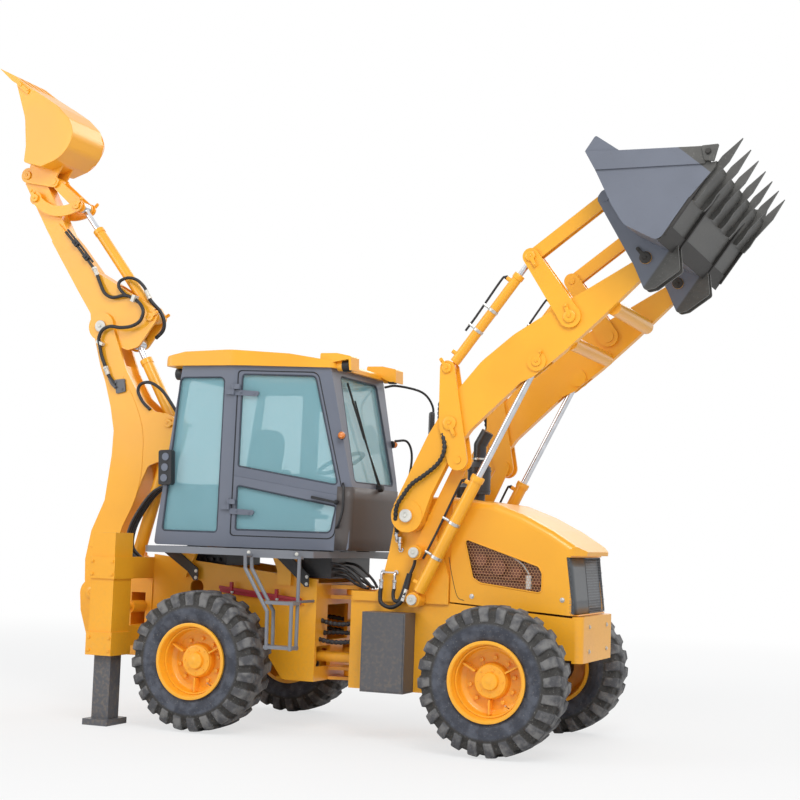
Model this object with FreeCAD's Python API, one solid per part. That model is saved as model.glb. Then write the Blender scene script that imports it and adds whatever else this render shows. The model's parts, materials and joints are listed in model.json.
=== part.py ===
"""Compact articulated backhoe loader: every piece as its own solid or set of like solids.

Millimetres. X forward, Y left, Z up; the ground is Z = 0. The drawing is laid out from the middle
of the wheelbase and moved forward by ORIGIN_X when it is written out, so that the middle of the
outline lies over the origin. Side views are drawn as (x, z) and extruded along Y.
"""
import FreeCAD, Part
import math
import os

V = FreeCAD.Vector
ORIGIN_X = 470.0

# ---- driving sizes ------------------------------------------------------------------------------
WHEELBASE = 2370.0
TRACK = 1694.0
TYRE_R = 537.5
TYRE_HALF = 195.0
RIM_R = 275.0
FLANGE_R = 288.0
PIN_GAP = 0.05                     # radial running clearance of every pin in its bore
SIDE_GAP = 5.0                     # free space between moving neighbours
PIVOT_X = -250.0                   # articulation axis

ARM_MID = 560.0                    # mid plane of each loader arm, from the centre line
ARM_T = 70.0
LEVER_T = 18.0
LINK_T = 28.0
TOWER_OUT = 470.0
TOWER_T = 40.0

ARM_PIN = (372.0, 1694.0)
RAIL_OFFSET = (69.0, -274.0)       # lower link pins from arm pins, at both ends
CRANK_PIN = (703.0, 2393.0)
TILT_BASE = (669.0, 2809.0)
LEVER_PIN = (1609.0, 3182.0)
LEVER_TOP = (1299.0, 3638.0)
BUCKET_PIN = (2164.0, 3595.0)
LIFT_BASE = (447.0, 1068.0)
LIFT_TOP = (1362.0, 2855.0)


def offset(p, d):
    """Point p moved by d in a side view."""
    return (p[0] + d[0], p[1] + d[1])


LINK_LOW = offset(ARM_PIN, RAIL_OFFSET)
CRANK_LOW = offset(CRANK_PIN, RAIL_OFFSET)
LEVER_SPAN = (LEVER_TOP[0] - LEVER_PIN[0], LEVER_TOP[1] - LEVER_PIN[1])
BUCKET_TOP = offset(BUCKET_PIN, LEVER_SPAN)      # bucket link is parallel to the arm's outer part

SWING_X = -2320.0
BOOM_FOOT = (-2660.0, 970.0)
BOOM_CYL_BASE = (-2330.0, 1230.0)
BOOM_CYL_EYE = (-2059.0, 2200.0)
DIPPER_CYL_BASE = (-2010.0, 2420.0)
DIPPER_PIN = (-2729.0, 3260.0)
DIPPER_CYL_EYE = (-2413.0, 3125.0)
DIGGER_CYL_BASE = (-2252.0, 3334.0)
DIGGER_PIN = (-3587.0, 4640.0)
DIGGER_LINK_PIN = (-3313.0, 4569.0)
DIGGER_LEVER_PIN = (-3475.0, 4422.0)
DIGGER_JOINT = (-3040.0, 4337.0)

CAB_SILL = 1410.0
CAB_WALL = 45.0

PARTS = {}


# ---- drawing helpers ----------------------------------------------------------------------------
def profile(points, place):
    """Closed face through points (a, b[, corner radius]); place(a, b) gives the 3-D point."""
    n = len(points)
    spans = []
    for i in range(n):
        p = V(points[i][0], points[i][1], 0)
        r = points[i][2] if len(points[i]) > 2 else 0
        if not r:
            spans.append((p, None, p))
            continue
        a = V(points[i - 1][0], points[i - 1][1], 0) - p
        b = V(points[(i + 1) % n][0], points[(i + 1) % n][1], 0) - p
        half = a.getAngle(b) / 2
        a.normalize()
        b.normalize()
        t = r / math.tan(half)
        mid = a + b
        mid.normalize()
        spans.append((p + a * t, p + mid * (r / math.sin(half) - r), p + b * t))
    edges = []
    for i, (start, mid, end) in enumerate(spans):
        if mid is not None:
            edges.append(Part.Arc(place(start.x, start.y), place(mid.x, mid.y),
                                  place(end.x, end.y)).toShape())
        nxt = spans[(i + 1) % n][0]
        if (nxt - end).Length > 1e-6:
            edges.append(Part.makeLine(place(end.x, end.y), place(nxt.x, nxt.y)))
    return Part.Face(Part.Wire(edges))


def slab(points, y0, y1):
    """Side-view outline (x, z) between two Y planes."""
    return profile(points, lambda a, b: V(a, y0, b)).extrude(V(0, y1 - y0, 0))


def plan(points, z0, z1):
    """Top-view outline (x, y) between two heights."""
    return profile(points, lambda a, b: V(a, b, z0)).extrude(V(0, 0, z1 - z0))


def cross(points, x0, x1):
    """Front-view outline (y, z) between two X planes."""
    return profile(points, lambda a, b: V(x0, a, b)).extrude(V(x1 - x0, 0, 0))


def box(x0, x1, y0, y1, z0, z1):
    """Upright block between opposite corners."""
    return Part.makeBox(x1 - x0, y1 - y0, z1 - z0, V(x0, y0, z0))


def rod(p, q, r):
    """Round bar from p to q (3-D points as tuples)."""
    p, q = V(*p), V(*q)
    return Part.makeCylinder(r, (q - p).Length, p, q - p)


def pin(at, y0, y1, r):
    """Round bar along Y at side-view point (x, z)."""
    return Part.makeCylinder(r, y1 - y0, V(at[0], y0, at[1]), V(0, 1, 0))


def strap(p, rp, q, rq, y0, y1):
    """Bar with round ends of radius rp at p and rq at q, tangent sides between."""
    dx, dz = q[0] - p[0], q[1] - p[1]
    d = math.hypot(dx, dz)
    ux, uz = dx / d, dz / d
    beta = math.acos((rp - rq) / d)

    def on(c, r, ang):
        ca, sa = math.cos(ang), math.sin(ang)
        return V(c[0] + r * (ux * ca - uz * sa), y0, c[1] + r * (uz * ca + ux * sa))

    edges = [
        Part.makeLine(on(p, rp, beta), on(q, rq, beta)),
        Part.Arc(on(q, rq, beta), on(q, rq, 0), on(q, rq, -beta)).toShape(),
        Part.makeLine(on(q, rq, -beta), on(p, rp, -beta)),
        Part.Arc(on(p, rp, -beta), on(p, rp, math.pi), on(p, rp, beta)).toShape(),
    ]
    return Part.Face(Part.Wire(edges)).extrude(V(0, y1 - y0, 0))


def fuse(*shapes):
    """One solid from touching shapes."""
    return shapes[0].multiFuse(list(shapes[1:])).removeSplitter()


def cut(shape, *tools):
    """Shape less every tool."""
    return shape.cut(Part.makeCompound(list(tools)))


def mirror(shape):
    """The same piece on the other side of the machine."""
    return shape.mirror(V(0, 0, 0), V(0, 1, 0))


def pair(shape):
    """A right-hand piece and its mirror image as separate solids."""
    return Part.makeCompound([shape, mirror(shape)])


def both(shape):
    """A right-hand shape and its mirror image, for fusing or cutting."""
    return [shape, mirror(shape)]


def bore(shape, at, r, y0=-1200, y1=1200):
    """Shape with a running bore for a pin of radius r along Y."""
    return shape.cut(pin(at, y0, y1, r + PIN_GAP))


def toward(p, q, length):
    """Point on the line from p to q at a length from p (2-D)."""
    d = math.hypot(q[0] - p[0], q[1] - p[1])
    return (p[0] + (q[0] - p[0]) * length / d, p[1] + (q[1] - p[1]) * length / d)


def at_y(p, y):
    """Side-view point as a 3-D tuple."""
    return (p[0], y, p[1])


def part(name, shape):
    """Keep a finished piece under its file name."""
    PARTS[name] = shape


def cylinder_set(base, eye, y, r_barrel, r_rod, gland_at, eye_r, base_r, half, base_pin, eye_pin,
                 out=0.0):
    """Hydraulic cylinder in the plane y: (barrel, rod) bored at base and eye.

    The rod runs 0.5 mm free in the barrel's bore; gland_at is the distance from base pin to gland.
    An eye without eye_pin holds its own pin and floats between its two ears; out is how far the
    rod already stands out at rest.
    """
    length = math.hypot(eye[0] - base[0], eye[1] - base[1])
    start = toward(base, eye, base_r * 0.6 if half >= r_barrel else base_r + 12)
    gland = toward(base, eye, gland_at)
    lip = toward(base, eye, gland_at - 0.9 * r_barrel)
    barrel = fuse(rod(at_y(start, y), at_y(gland, y), r_barrel),
                  rod(at_y(toward(base, eye, base_r * 0.6), y),
                      at_y(toward(start, eye, 4), y), min(half, r_barrel) * 0.95),
                  rod(at_y(lip, y), at_y(gland, y), r_barrel * 1.1),
                  pin(base, y - half, y + half, base_r))
    inner = toward(base, eye, base_r * 1.35)
    barrel = barrel.cut(rod(at_y(inner, y), at_y(toward(base, eye, gland_at + 5), y), r_rod + 0.5))
    barrel = bore(barrel, base, base_pin)
    tail = toward(base, eye, base_r * 1.35 + 12 + out)
    neck = toward(base, eye, length - eye_r * 0.6)
    stem = fuse(rod(at_y(tail, y), at_y(neck, y), r_rod), pin(eye, y - half, y + half, eye_r))
    return barrel, (bore(stem, eye, eye_pin) if eye_pin else stem)


# ---- wheels -------------------------------------------------------------------------------------
def revolve_y(points, centre, side):
    """Solid of revolution about a wheel axle; points are (outboard y, radius[, corner r])."""
    face = profile(points, lambda a, b: V(centre[0], centre[1] + side * a, centre[2] + b))
    return face.revolve(V(*centre), V(0, 1, 0), 360)


def wheel(name, x, side):
    """Tyre out to its lug tips, and a deep-dished rim with its hub on the axle spindle."""
    c = (x, side * TRACK / 2, TYRE_R)
    t = TYRE_HALF
    part("tyre_" + name, revolve_y([
        (-168, RIM_R), (168, RIM_R), (168, 300, 20), (t, 360, 60), (t, 455, 50),
        (178, 505, 30), (150, TYRE_R, 25), (-150, TYRE_R, 25), (-178, 505, 30), (-t, 455, 50),
        (-t, 360, 60), (-168, 300, 20)], c, side))
    rim = revolve_y([
        (-184, 262), (-184, FLANGE_R), (-168, FLANGE_R), (-168, RIM_R), (168, RIM_R),
        (168, FLANGE_R), (184, FLANGE_R), (184, 262), (40, 240, 25), (22, 205), (22, 135),
        (70, 125), (78, 118), (78, 70), (110, 60), (110, 0), (62, 0), (62, 40 + PIN_GAP),
        (-40, 40 + PIN_GAP), (-40, 110), (-10, 120), (8, 205), (24, 250, 20), (-20, 262)], c, side)
    part("rim_" + name, rim)


def axle(x):
    """Banjo axle with spindles that run in the wheel hubs."""
    y_hub = TRACK / 2 - 40 - SIDE_GAP
    beam = [rod((x, -y_hub, TYRE_R), (x, y_hub, TYRE_R), 80), Part.makeSphere(190, V(x, 0, TYRE_R))]
    for s in (-1, 1):
        beam.append(rod((x, s * (y_hub - 120), TYRE_R), (x, s * y_hub, TYRE_R), 130))
        beam.append(rod((x, s * y_hub, TYRE_R), (x, s * (TRACK / 2 + 57), TYRE_R), 40))
        beam.append(box(x - 90, x + 90, s * 407 - 22, s * 407 + 22, TYRE_R, 640))
    return fuse(*beam)


for x_axle, end in ((WHEELBASE / 2, "front"), (-WHEELBASE / 2, "rear")):
    for sign, hand in ((-1, "right"), (1, "left")):
        wheel(end + "_" + hand, x_axle, sign)
    part("axle_" + end, axle(x_axle))

# ---- front frame --------------------------------------------------------------------------------
FRAME_HALF = 450.0
STEER_Z = 580.0
STEER_HALF = 350.0                 # steering pins ahead of and behind the articulation axis
STEER_Y = 250.0
LUG_UP = (1060.0, 1100.0)
LUG_DOWN = (420.0, 460.0)

side_plate = slab([(-120, 370), (620, 370), (800, 620, 60), (980, 640), (1390, 640), (1560, 680),
                   (1640, 680), (1640, 985), (600, 1055), (600, 1110), (-120, 1110)],
                  -FRAME_HALF, -FRAME_HALF + 25)
tower = slab([(110, 1110, 60), (160, 1290), (190, 1420), (235, 1700, 40), (300, 1828, 90),
              (440, 1828, 90), (520, 1690, 40), (590, 1480), (680, 1240), (680, 1040),
              (-100, 1040), (-100, 1110)], -TOWER_OUT, -TOWER_OUT + TOWER_T)
for spot, r_pin, reach in ((ARM_PIN, 45, 612), (LINK_LOW, 30, 602), (LIFT_BASE, 32, 622)):
    tower = fuse(tower, pin(spot, -reach, -FRAME_HALF, r_pin))


def steer_ears(x, hand, web):
    """Plates above and below a steering cylinder's eye, on a web set back from the pin by web."""
    y = hand * STEER_Y
    ends = sorted((x + web, x + web * 1.3))
    near, far = sorted((x - math.copysign(34, web), x + web * 1.3))
    return [box(near, far, y - 50, y + 50, STEER_Z - 45, STEER_Z - 25),
            box(near, far, y - 50, y + 50, STEER_Z + 25, STEER_Z + 45),
            box(ends[0], ends[1], y - 50, y + 50, 380, STEER_Z + 45)]


def lug(x_root, z0, z1, r_hole):
    """Articulation lug around the pivot, rooted in the frame at x_root."""
    toe = x_root - (40 if x_root < PIVOT_X else -40)
    shape = fuse(plan([(PIVOT_X, -100), (x_root, -150), (toe, -150), (toe, 150), (x_root, 150),
                       (PIVOT_X, 100)], z0, z1),
                 Part.makeCylinder(100, z1 - z0, V(PIVOT_X, 0, z0)))
    return cut(shape, Part.makeCylinder(r_hole, z1 - z0 + 20, V(PIVOT_X, 0, z0 - 10)))


front_wall = cut(box(-120, -90, -426, 426, 370, 1110),
                 box(-130, -80, -390, -110, 500, 660), box(-130, -80, 110, 390, 500, 660),
                 box(-130, -80, -200, 200, 700, 1000))
front_frame = fuse(
    *both(side_plate), *both(tower), front_wall,
    lug(-120, *LUG_DOWN, 40 + PIN_GAP), lug(-120, *LUG_UP, 40 + PIN_GAP),
    box(-90, 600, -426, 426, 370, 395), box(560, 600, -426, 426, 395, 620),
    box(1600, 1640, -426, 426, 700, 985), box(60, 110, -440, 440, 1060, 1110),
    *steer_ears(PIVOT_X + STEER_HALF, -1, 90), *steer_ears(PIVOT_X + STEER_HALF, 1, 90))
part("front_frame", front_frame)
part("side_boxes", pair(box(-100, 250, -660, -FRAME_HALF, 370, 965)))
bumper = plan([(1640, -450), (1715, -450, 60), (1715, 450, 60), (1640, 450)], 660, 995)
BALLAST = [(y, z) for y in (-250, 250) for z in (740, 920)]
part("front_bumper", cut(bumper, *[rod((1655, y, z), (1720, y, z), 8.75) for y, z in BALLAST]))
part("engine_block", fuse(box(670, 1500, -300, 300, 780, 1560), box(900, 980, -425, 425, 900, 960),
                          box(1350, 1430, -425, 425, 900, 960)))

# ---- hood ---------------------------------------------------------------------------------------
HOOD_TOP = [(250, 1845), (700, 1845), (1020, 1810), (1250, 1727), (1465, 1621), (1620, 1526),
            (1705, 1470)]
HOOD_SIDE = [(250, 1120), (250, 1845, 60)] + HOOD_TOP[1:-1] + [
    (1705, 1470), (1700, 1440), (1612, 1438), (1665, 1000), (600, 1065), (600, 1120)]
HOOD_IN_TOP = [(262, 1833), (700, 1833), (1017, 1798), (1245, 1715), (1459, 1609), (1590, 1528)]
HOOD_IN = [(262, 1000), (262, 1833, 50)] + HOOD_IN_TOP[1:] + [(1598, 1450), (1652, 900), (600, 900)]
HOOD_PLAN = [(250, -425), (686, -425), (686, -450), (1625, -450, 60), (1712, -290, 120),
             (1712, 290, 120), (1625, 450, 60), (686, 450), (686, 425), (250, 425)]
HOOD_PLAN_IN = [(262, -413), (698, -413), (698, -438), (1616, -438, 48), (1690, -290),
                (1690, 290), (1616, 438, 48), (698, 438), (698, 413), (262, 413)]
MESH = [(790, 1539, 20), (1374, 1352, 30), (1402, 1302), (1402, 1155, 30), (924, 1211, 40),
        (863, 1247, 30)]
GRILLE_TOP, GRILLE_FOOT = 1427.0, 1010.0    # upper and lower edge of the front opening
GRILLE = [(1583, GRILLE_TOP), (1900, GRILLE_TOP), (1900, GRILLE_FOOT), (1638, GRILLE_FOOT)]
HOOD_HALF, HOOD_ROUND, HOOD_T = 450.0, 60.0, 12.0


def crowned(shape, top, half, r):
    """Shape with its long upper edges rounded by r, segment by segment along the top line."""
    for p, q in zip(top, top[1:]):
        d = V(q[0] - p[0], 0, q[1] - p[1]).normalize()
        face = profile([(-half, -2500), (-half, 0, r), (half, 0, r), (half, -2500)],
                       lambda y, t: V(p[0] - d.z * t - d.x * 2500, y, p[1] + d.x * t - d.z * 2500))
        shape = shape.common(face.extrude(d * 5000))
    return shape


hood = crowned(slab(HOOD_SIDE, -HOOD_HALF, HOOD_HALF).common(plan(HOOD_PLAN, 900, 1900)),
               HOOD_TOP, HOOD_HALF, HOOD_ROUND)
hollow = crowned(slab(HOOD_IN, -438, 438).common(plan(HOOD_PLAN_IN, 800, 1900)),
                 HOOD_IN_TOP, HOOD_HALF - HOOD_T, HOOD_ROUND - HOOD_T)
hood = hood.cut(hollow)
hood = cut(hood, slab(MESH, -460, -400), slab(MESH, 400, 460),
           slab(GRILLE, -460, 460))
hood = cut(hood, Part.makeCylinder(56, 100, V(735, 0, 1800)))
part("hood", hood)


def inset(points, d):
    """Side-view outline shrunk toward its middle by about d."""
    cx = sum(p[0] for p in points) / len(points)
    cz = sum(p[1] for p in points) / len(points)
    out = []
    for p in points:
        k = 1 - d / math.hypot(p[0] - cx, p[1] - cz)
        out.append((cx + (p[0] - cx) * k, cz + (p[1] - cz) * k) + tuple(p[2:]))
    return out


mesh_bars = [slab([(x, 1100), (x + 22, 1100), (x + 22, 1600), (x, 1600)], -441, -435)
             for x in range(820, 1400, 48)]
mesh_bars += [slab([(700, z), (1450, z), (1450, z + 14), (700, z + 14)], -441, -435)
              for z in range(1190, 1540, 62)]
frame_ring = slab(MESH, -446, -432).cut(slab(inset(MESH, 26), -450, -430))
mesh = fuse(frame_ring, fuse(*mesh_bars).common(slab(MESH, -446, -432)))
GRILLE_MID = 235.0                 # half width of the plain centre of the front grille
GRILLE_SEAT = 0.3                  # between the front grille and the edges that hold it
g_top, g_foot = GRILLE_TOP - GRILLE_SEAT, GRILLE_FOOT + GRILLE_SEAT
grille_skin = fuse(slab([(1603, g_top), (1611, g_top), (1661, g_foot), (1653, g_foot)], -438, 438),
                   *both(slab([(1586, g_top), (1611, g_top), (1661, g_foot), (1641, g_foot)],
                              -446, -437))).common(plan(HOOD_PLAN, 900, 1900))
slots = [box(1560, 1800, *sorted((s * (GRILLE_MID + 8), s * 420)), z, z + 24)
         for s in (-1, 1) for z in range(1034, 1400, 38)]
grille = grille_skin.cut(Part.makeCompound(slots))
part("hood_grilles", Part.makeCompound(both(mesh) + [grille]))
part("exhaust_stack", fuse(rod((735, 0, 1560), (735, 0, 2270), 50),
                           rod((735, 0, 2270), (795, 0, 2375), 50),
                           Part.makeSphere(50, V(735, 0, 2270)),
                           rod((735, 0, 1885), (735, 0, 2095), 90),
                           Part.makeCone(90, 50, 45, V(735, 0, 2095))))

# ---- loader arms and linkage --------------------------------------------------------------------
A0, A1 = -ARM_MID - ARM_T / 2, -ARM_MID + ARM_T / 2          # arm's outer and inner face
P_OUT = (A0 - SIDE_GAP - 3 - LEVER_T, A0 - SIDE_GAP - 3)     # outer lever plate
P_IN = (A1 + SIDE_GAP + 3, A1 + SIDE_GAP + 3 + LEVER_T)      # inner lever plate
ARM = [(262, 1770), (520, 2300), (700, 2590, 300), (930, 2860, 400), (1180, 3060, 400),
       (1480, 3240), (2120, 3606), (2215, 3530), (1850, 3180, 200), (1565, 2925),
       (1340, 2745, 60), (1240, 2700), (1120, 2590, 200), (860, 2350, 200), (690, 2110, 100),
       (560, 1850), (492, 1650)]
arm = fuse(slab(ARM, A0, A1), pin(ARM_PIN, A0 - 5, -TOWER_OUT - SIDE_GAP, 125),
           pin(BUCKET_PIN, A0, A1, 85), pin(LEVER_PIN, A0 - 3, A1 + 3, 80),
           pin(CRANK_PIN, A0 - 3, A1 + 3, 75), pin(LIFT_TOP, A0 - 14, A1 + 14, 72))
EYE_SLOT = (-585.0, -535.0)
drift = (LIFT_TOP[0] + 105, LIFT_TOP[1] - 95)
arm = cut(arm, strap(LIFT_TOP, 72, drift, 72, *EYE_SLOT),
          strap(LIFT_TOP, 66, (LIFT_TOP[0] - 90, LIFT_TOP[1] - 200), 80, *EYE_SLOT),
          strap(drift, 72, (LIFT_TOP[0] - 60, LIFT_TOP[1] - 200), 80, *EYE_SLOT))
arm = bore(arm, ARM_PIN, 45)
for spot, r_pin in ((CRANK_PIN, 32), (LEVER_PIN, 35), (BUCKET_PIN, 32)):
    arm = bore(arm, spot, r_pin)
lift_arms = fuse(arm, mirror(arm), pin((1911, 3257), A1 - 5, -A1 + 5, 58),
                 pin((1596, 3001), A1 - 5, -A1 + 5, 55))
part("lift_arms", lift_arms)

lift_barrel, lift_rod = cylinder_set(LIFT_BASE, LIFT_TOP, -ARM_MID, 46, 25, 1045, 58, 58, 20,
                                     32, None, 782)
lift_barrel = fuse(lift_barrel, cut(pin(LIFT_BASE, -ARM_MID - 45, -TOWER_OUT - SIDE_GAP, 56),
                                    pin(LIFT_BASE, -900, 0, 32 + PIN_GAP)))
part("lift_barrels", pair(lift_barrel))
part("lift_rods", pair(lift_rod))


def plates(p, rp, q, rq, more=()):
    """Inner and outer lever plate between pins p and q."""
    out = []
    for y0, y1 in (P_OUT, P_IN):
        shape = strap(p, rp, q, rq, y0, y1)
        for extra in more:
            shape = fuse(shape, strap(*extra, y0, y1))
        out.append(shape)
    return out


crank = plates(CRANK_LOW, 78, TILT_BASE, 58, [(CRANK_PIN, 88, TILT_BASE, 58),
                                              (CRANK_LOW, 78, CRANK_PIN, 88)])
crank = fuse(*crank, pin(CRANK_PIN, P_OUT[0] - 6, P_IN[1] + 4, 32))
crank = bore(bore(crank, CRANK_LOW, 30), TILT_BASE, 28)
part("bellcranks", pair(crank))
part("crank_pins", pair(fuse(pin(TILT_BASE, P_OUT[0] - 8, P_IN[1] + 8, 28),
                             pin(TILT_BASE, P_OUT[0] - 8, P_OUT[0] - 2, 40),
                             pin(TILT_BASE, P_IN[1] + 2, P_IN[1] + 8, 40))))
LOW = (P_IN[1] + SIDE_GAP, P_IN[1] + SIDE_GAP + 18)
low_link = fuse(strap(LINK_LOW, 55, CRANK_LOW, 50, *LOW), pin(LINK_LOW, -590, LOW[1], 55),
                pin(CRANK_LOW, P_OUT[0] - 6, LOW[1], 29))
part("lower_links", pair(bore(low_link, LINK_LOW, 30)))

tilt_barrel, tilt_rod = cylinder_set(TILT_BASE, LEVER_TOP, -ARM_MID, 38, 21, 880, 48, 50, 15,
                                     28, None)
part("tilt_barrels", pair(tilt_barrel))
part("tilt_rods", pair(tilt_rod))
part("lever_shafts", pair(fuse(pin(LEVER_PIN, P_OUT[0] - 8, P_IN[1] + 8, 35),
                               pin(LEVER_PIN, P_OUT[0] - 8, P_OUT[0] - 2, 48),
                               pin(LEVER_PIN, P_IN[1] + 2, P_IN[1] + 8, 48))))
lever = [bore(bore(s, LEVER_PIN, 35), LEVER_TOP, 26)
         for s in plates(LEVER_PIN, 82, LEVER_TOP, 62)]
part("upper_levers", Part.makeCompound(lever + [mirror(s) for s in lever]))
B_OUT = (A0 - 1, A0 + 13)                  # bucket link plates
B_IN = (A1 - 13, A1 + 1)
stubs = [pin(LEVER_TOP, P_OUT[0] - 8, B_OUT[1], 26), pin(LEVER_TOP, B_IN[0], P_IN[1] + 8, 26)]
part("lever_pins", Part.makeCompound(stubs + [mirror(s) for s in stubs]))
along = math.hypot(BUCKET_TOP[0] - LEVER_TOP[0], BUCKET_TOP[1] - LEVER_TOP[1])
link_bars = fuse(strap(LEVER_TOP, 50, BUCKET_TOP, 48, *B_OUT),
                 strap(LEVER_TOP, 50, BUCKET_TOP, 48, *B_IN),
                 strap(toward(LEVER_TOP, BUCKET_TOP, 190), 30,
                       toward(LEVER_TOP, BUCKET_TOP, along - 110), 29, B_OUT[0], B_IN[1]))
part("bucket_links", pair(bore(link_bars, LEVER_TOP, 26).cut(pin(BUCKET_TOP, -900, 0, 29))))
part("bucket_pins", pair(fuse(pin(BUCKET_PIN, P_OUT[0] - 8, P_IN[1] + 8, 32),
                              pin(BUCKET_PIN, P_OUT[0] - 8, P_OUT[0] - 2, 45),
                              pin(BUCKET_PIN, P_IN[1] + 2, P_IN[1] + 8, 45))))

# ---- loader bucket ------------------------------------------------------------------------------
BUCKET_HALF = 1050.0
SHELL = [(1813, 4293, 15), (1883, 4168), (2017, 3892), (2101, 3757, 110), (2348, 3628, 60),
         (2709, 4147), (2676, 4277, 20), (2061, 4284), (1888, 4402, 15)]
HOLLOW = [(1888, 4402), (1902, 4180), (2032, 3902), (2113, 3775, 100), (2342, 3652, 48),
          (2692, 4152), (2900, 4500), (1888, 4700)]
LIP = (2734.0, 4120.0)
TOOTH_TIP = (2910.0, 4330.0)
shell = slab(SHELL, -BUCKET_HALF, BUCKET_HALF).cut(slab(HOLLOW, -BUCKET_HALF + 14,
                                                        BUCKET_HALF - 14))
cutting_edge = slab([(2560, 3925), (2734, 4128), (2745, 4168), (2700, 4160), (2545, 3940)],
                    -BUCKET_HALF, BUCKET_HALF)
HANGER = [(1790, 4048, 50), (1838, 4118, 50), (1925, 4098), (2060, 3850), (2160, 3768),
          (2345, 3645), (2395, 3690), (2414, 3499, 30), (2237, 3374, 30), (2160, 3358, 30),
          (2078, 3545, 60)]
hangers = [slab(HANGER, *P_OUT), slab(HANGER, *P_IN)]
tooth_y = [-BUCKET_HALF + 60 + i * (2 * BUCKET_HALF - 120) / 6 for i in range(7)]


def tooth(root, tip, y, width, depth):
    """Wedge tooth on its adapter from the lip at root out to its tip."""
    dx, dz = tip[0] - root[0], tip[1] - root[1]
    d = math.hypot(dx, dz)
    nx, nz = -dz / d * depth, dx / d * depth
    back = (root[0] - dx * 0.55, root[1] - dz * 0.55)
    mid = (root[0] + dx * 0.35, root[1] + dz * 0.35)
    outline = [(back[0] - nx * 0.6, back[1] - nz * 0.6), (mid[0] - nx, mid[1] - nz), tip,
               (mid[0] + nx, mid[1] + nz), (back[0] + nx * 0.6, back[1] + nz * 0.6)]
    return slab(outline, y - width / 2, y + width / 2)


TOOTH_T = 28.0
SHANK = [(2560, 3925), (2660, 4068), (2752, 4150, 8), (2768, 4128, 8), (2690, 4040, 15),
         (2640, 3960, 20), (2590, 3905, 10)]
teeth = [fuse(tooth(LIP, TOOTH_TIP, y, TOOTH_T, 30), slab(SHANK, y - TOOTH_T / 2, y + TOOTH_T / 2))
         for y in tooth_y]
bucket = fuse(shell, cutting_edge, *hangers, *[mirror(h) for h in hangers], *teeth,
              pin(BUCKET_TOP, P_OUT[0] - 6, P_IN[1] + 6, 28),
              pin((BUCKET_TOP[0], BUCKET_TOP[1]), -P_IN[1] - 6, -P_OUT[0] + 6, 28))
part("loader_bucket", bore(bucket, BUCKET_PIN, 32))

# ---- rear frame ---------------------------------------------------------------------------------
REAR_HALF = 420.0
rear_plate = slab([(-1900, 430, 30), (-1900, 1325), (-430, 1180), (-430, 390), (-700, 390, 60),
                   (-860, 600, 60), (-980, 640), (-1390, 640), (-1560, 560, 60), (-1700, 430, 60)],
                  -REAR_HALF, -REAR_HALF + 25)
rear_plate = bore(rear_plate, (-1493, 1076), 60)
rear_wall = cut(box(-460, -430, -396, 396, 390, 1150),
                box(-470, -420, -385, -120, 500, 660), box(-470, -420, 120, 385, 500, 660),
                box(-470, -420, -200, 200, 700, 980))
posts = []
for x_post, top in ((-1600, 1295), (-700, 1205)):
    posts.append(box(x_post - 60, x_post + 60, -REAR_HALF - 40, -REAR_HALF + 25, top - 80, 1350))
    posts.append(slab([(x_post - 110, 1350), (x_post + 110, 1350), (x_post + 20, 1150),
                       (x_post - 20, 1150)], -REAR_HALF - 40, -REAR_HALF))
rear_frame = fuse(
    *both(rear_plate), rear_wall, *posts, *[mirror(s) for s in posts],
    lug(-430, LUG_UP[0] - 35, LUG_UP[0] - 5, 30), lug(-430, LUG_UP[1] + 5, LUG_UP[1] + 35, 30),
    lug(-430, LUG_DOWN[0] - 30, LUG_DOWN[0] - 5, 30), lug(-430, LUG_DOWN[1] + 5,
                                                          LUG_DOWN[1] + 30, 30),
    Part.makeCylinder(40, LUG_UP[1] - LUG_UP[0] + 80, V(PIVOT_X, 0, LUG_UP[0] - 40)),
    Part.makeCylinder(40, LUG_DOWN[1] - LUG_DOWN[0] + 70, V(PIVOT_X, 0, LUG_DOWN[0] - 35)),
    *steer_ears(PIVOT_X - STEER_HALF, -1, -55), *steer_ears(PIVOT_X - STEER_HALF, 1, -55),
    *[Part.makeCylinder(20, 90, V(PIVOT_X - STEER_HALF, h * STEER_Y, STEER_Z - 45))
      for h in (-1, 1)],
    box(-760, -430, -396, 396, 390, 415), box(-1900, -1860, -396, 396, 430, 1300),
    box(-1860, -1780, -396, 396, 1200, 1240), box(-760, -700, -396, 396, 900, 960),
    slab([(-1248, 1045), (-532, 977), (-532, 1013), (-1248, 1081)], -450, -REAR_HALF),
    slab([(-1248, 1045), (-532, 977), (-532, 1013), (-1248, 1081)], REAR_HALF, 450))
part("rear_frame", rear_frame)
part("battery_box", box(-640, -330, -380, 380, 1190, 1350))


def lay_flat(shape, z):
    """A piece drawn in the side view, laid down so its drawn height becomes Y at height z."""
    shape = shape.copy()
    shape.rotate(V(0, 0, 0), V(1, 0, 0), -90)
    shape.translate(V(0, 0, z))
    return shape


for sign, hand in ((-1, "right"), (1, "left")):
    barrel, stem = cylinder_set((PIVOT_X - STEER_HALF, sign * STEER_Y),
                                (PIVOT_X + STEER_HALF, sign * STEER_Y), 0, 42, 21, 440, 36, 36,
                                20, 20, None, 155)
    part("steer_barrel_" + hand, lay_flat(barrel, STEER_Z))
    part("steer_rod_" + hand, lay_flat(stem, STEER_Z))

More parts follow.
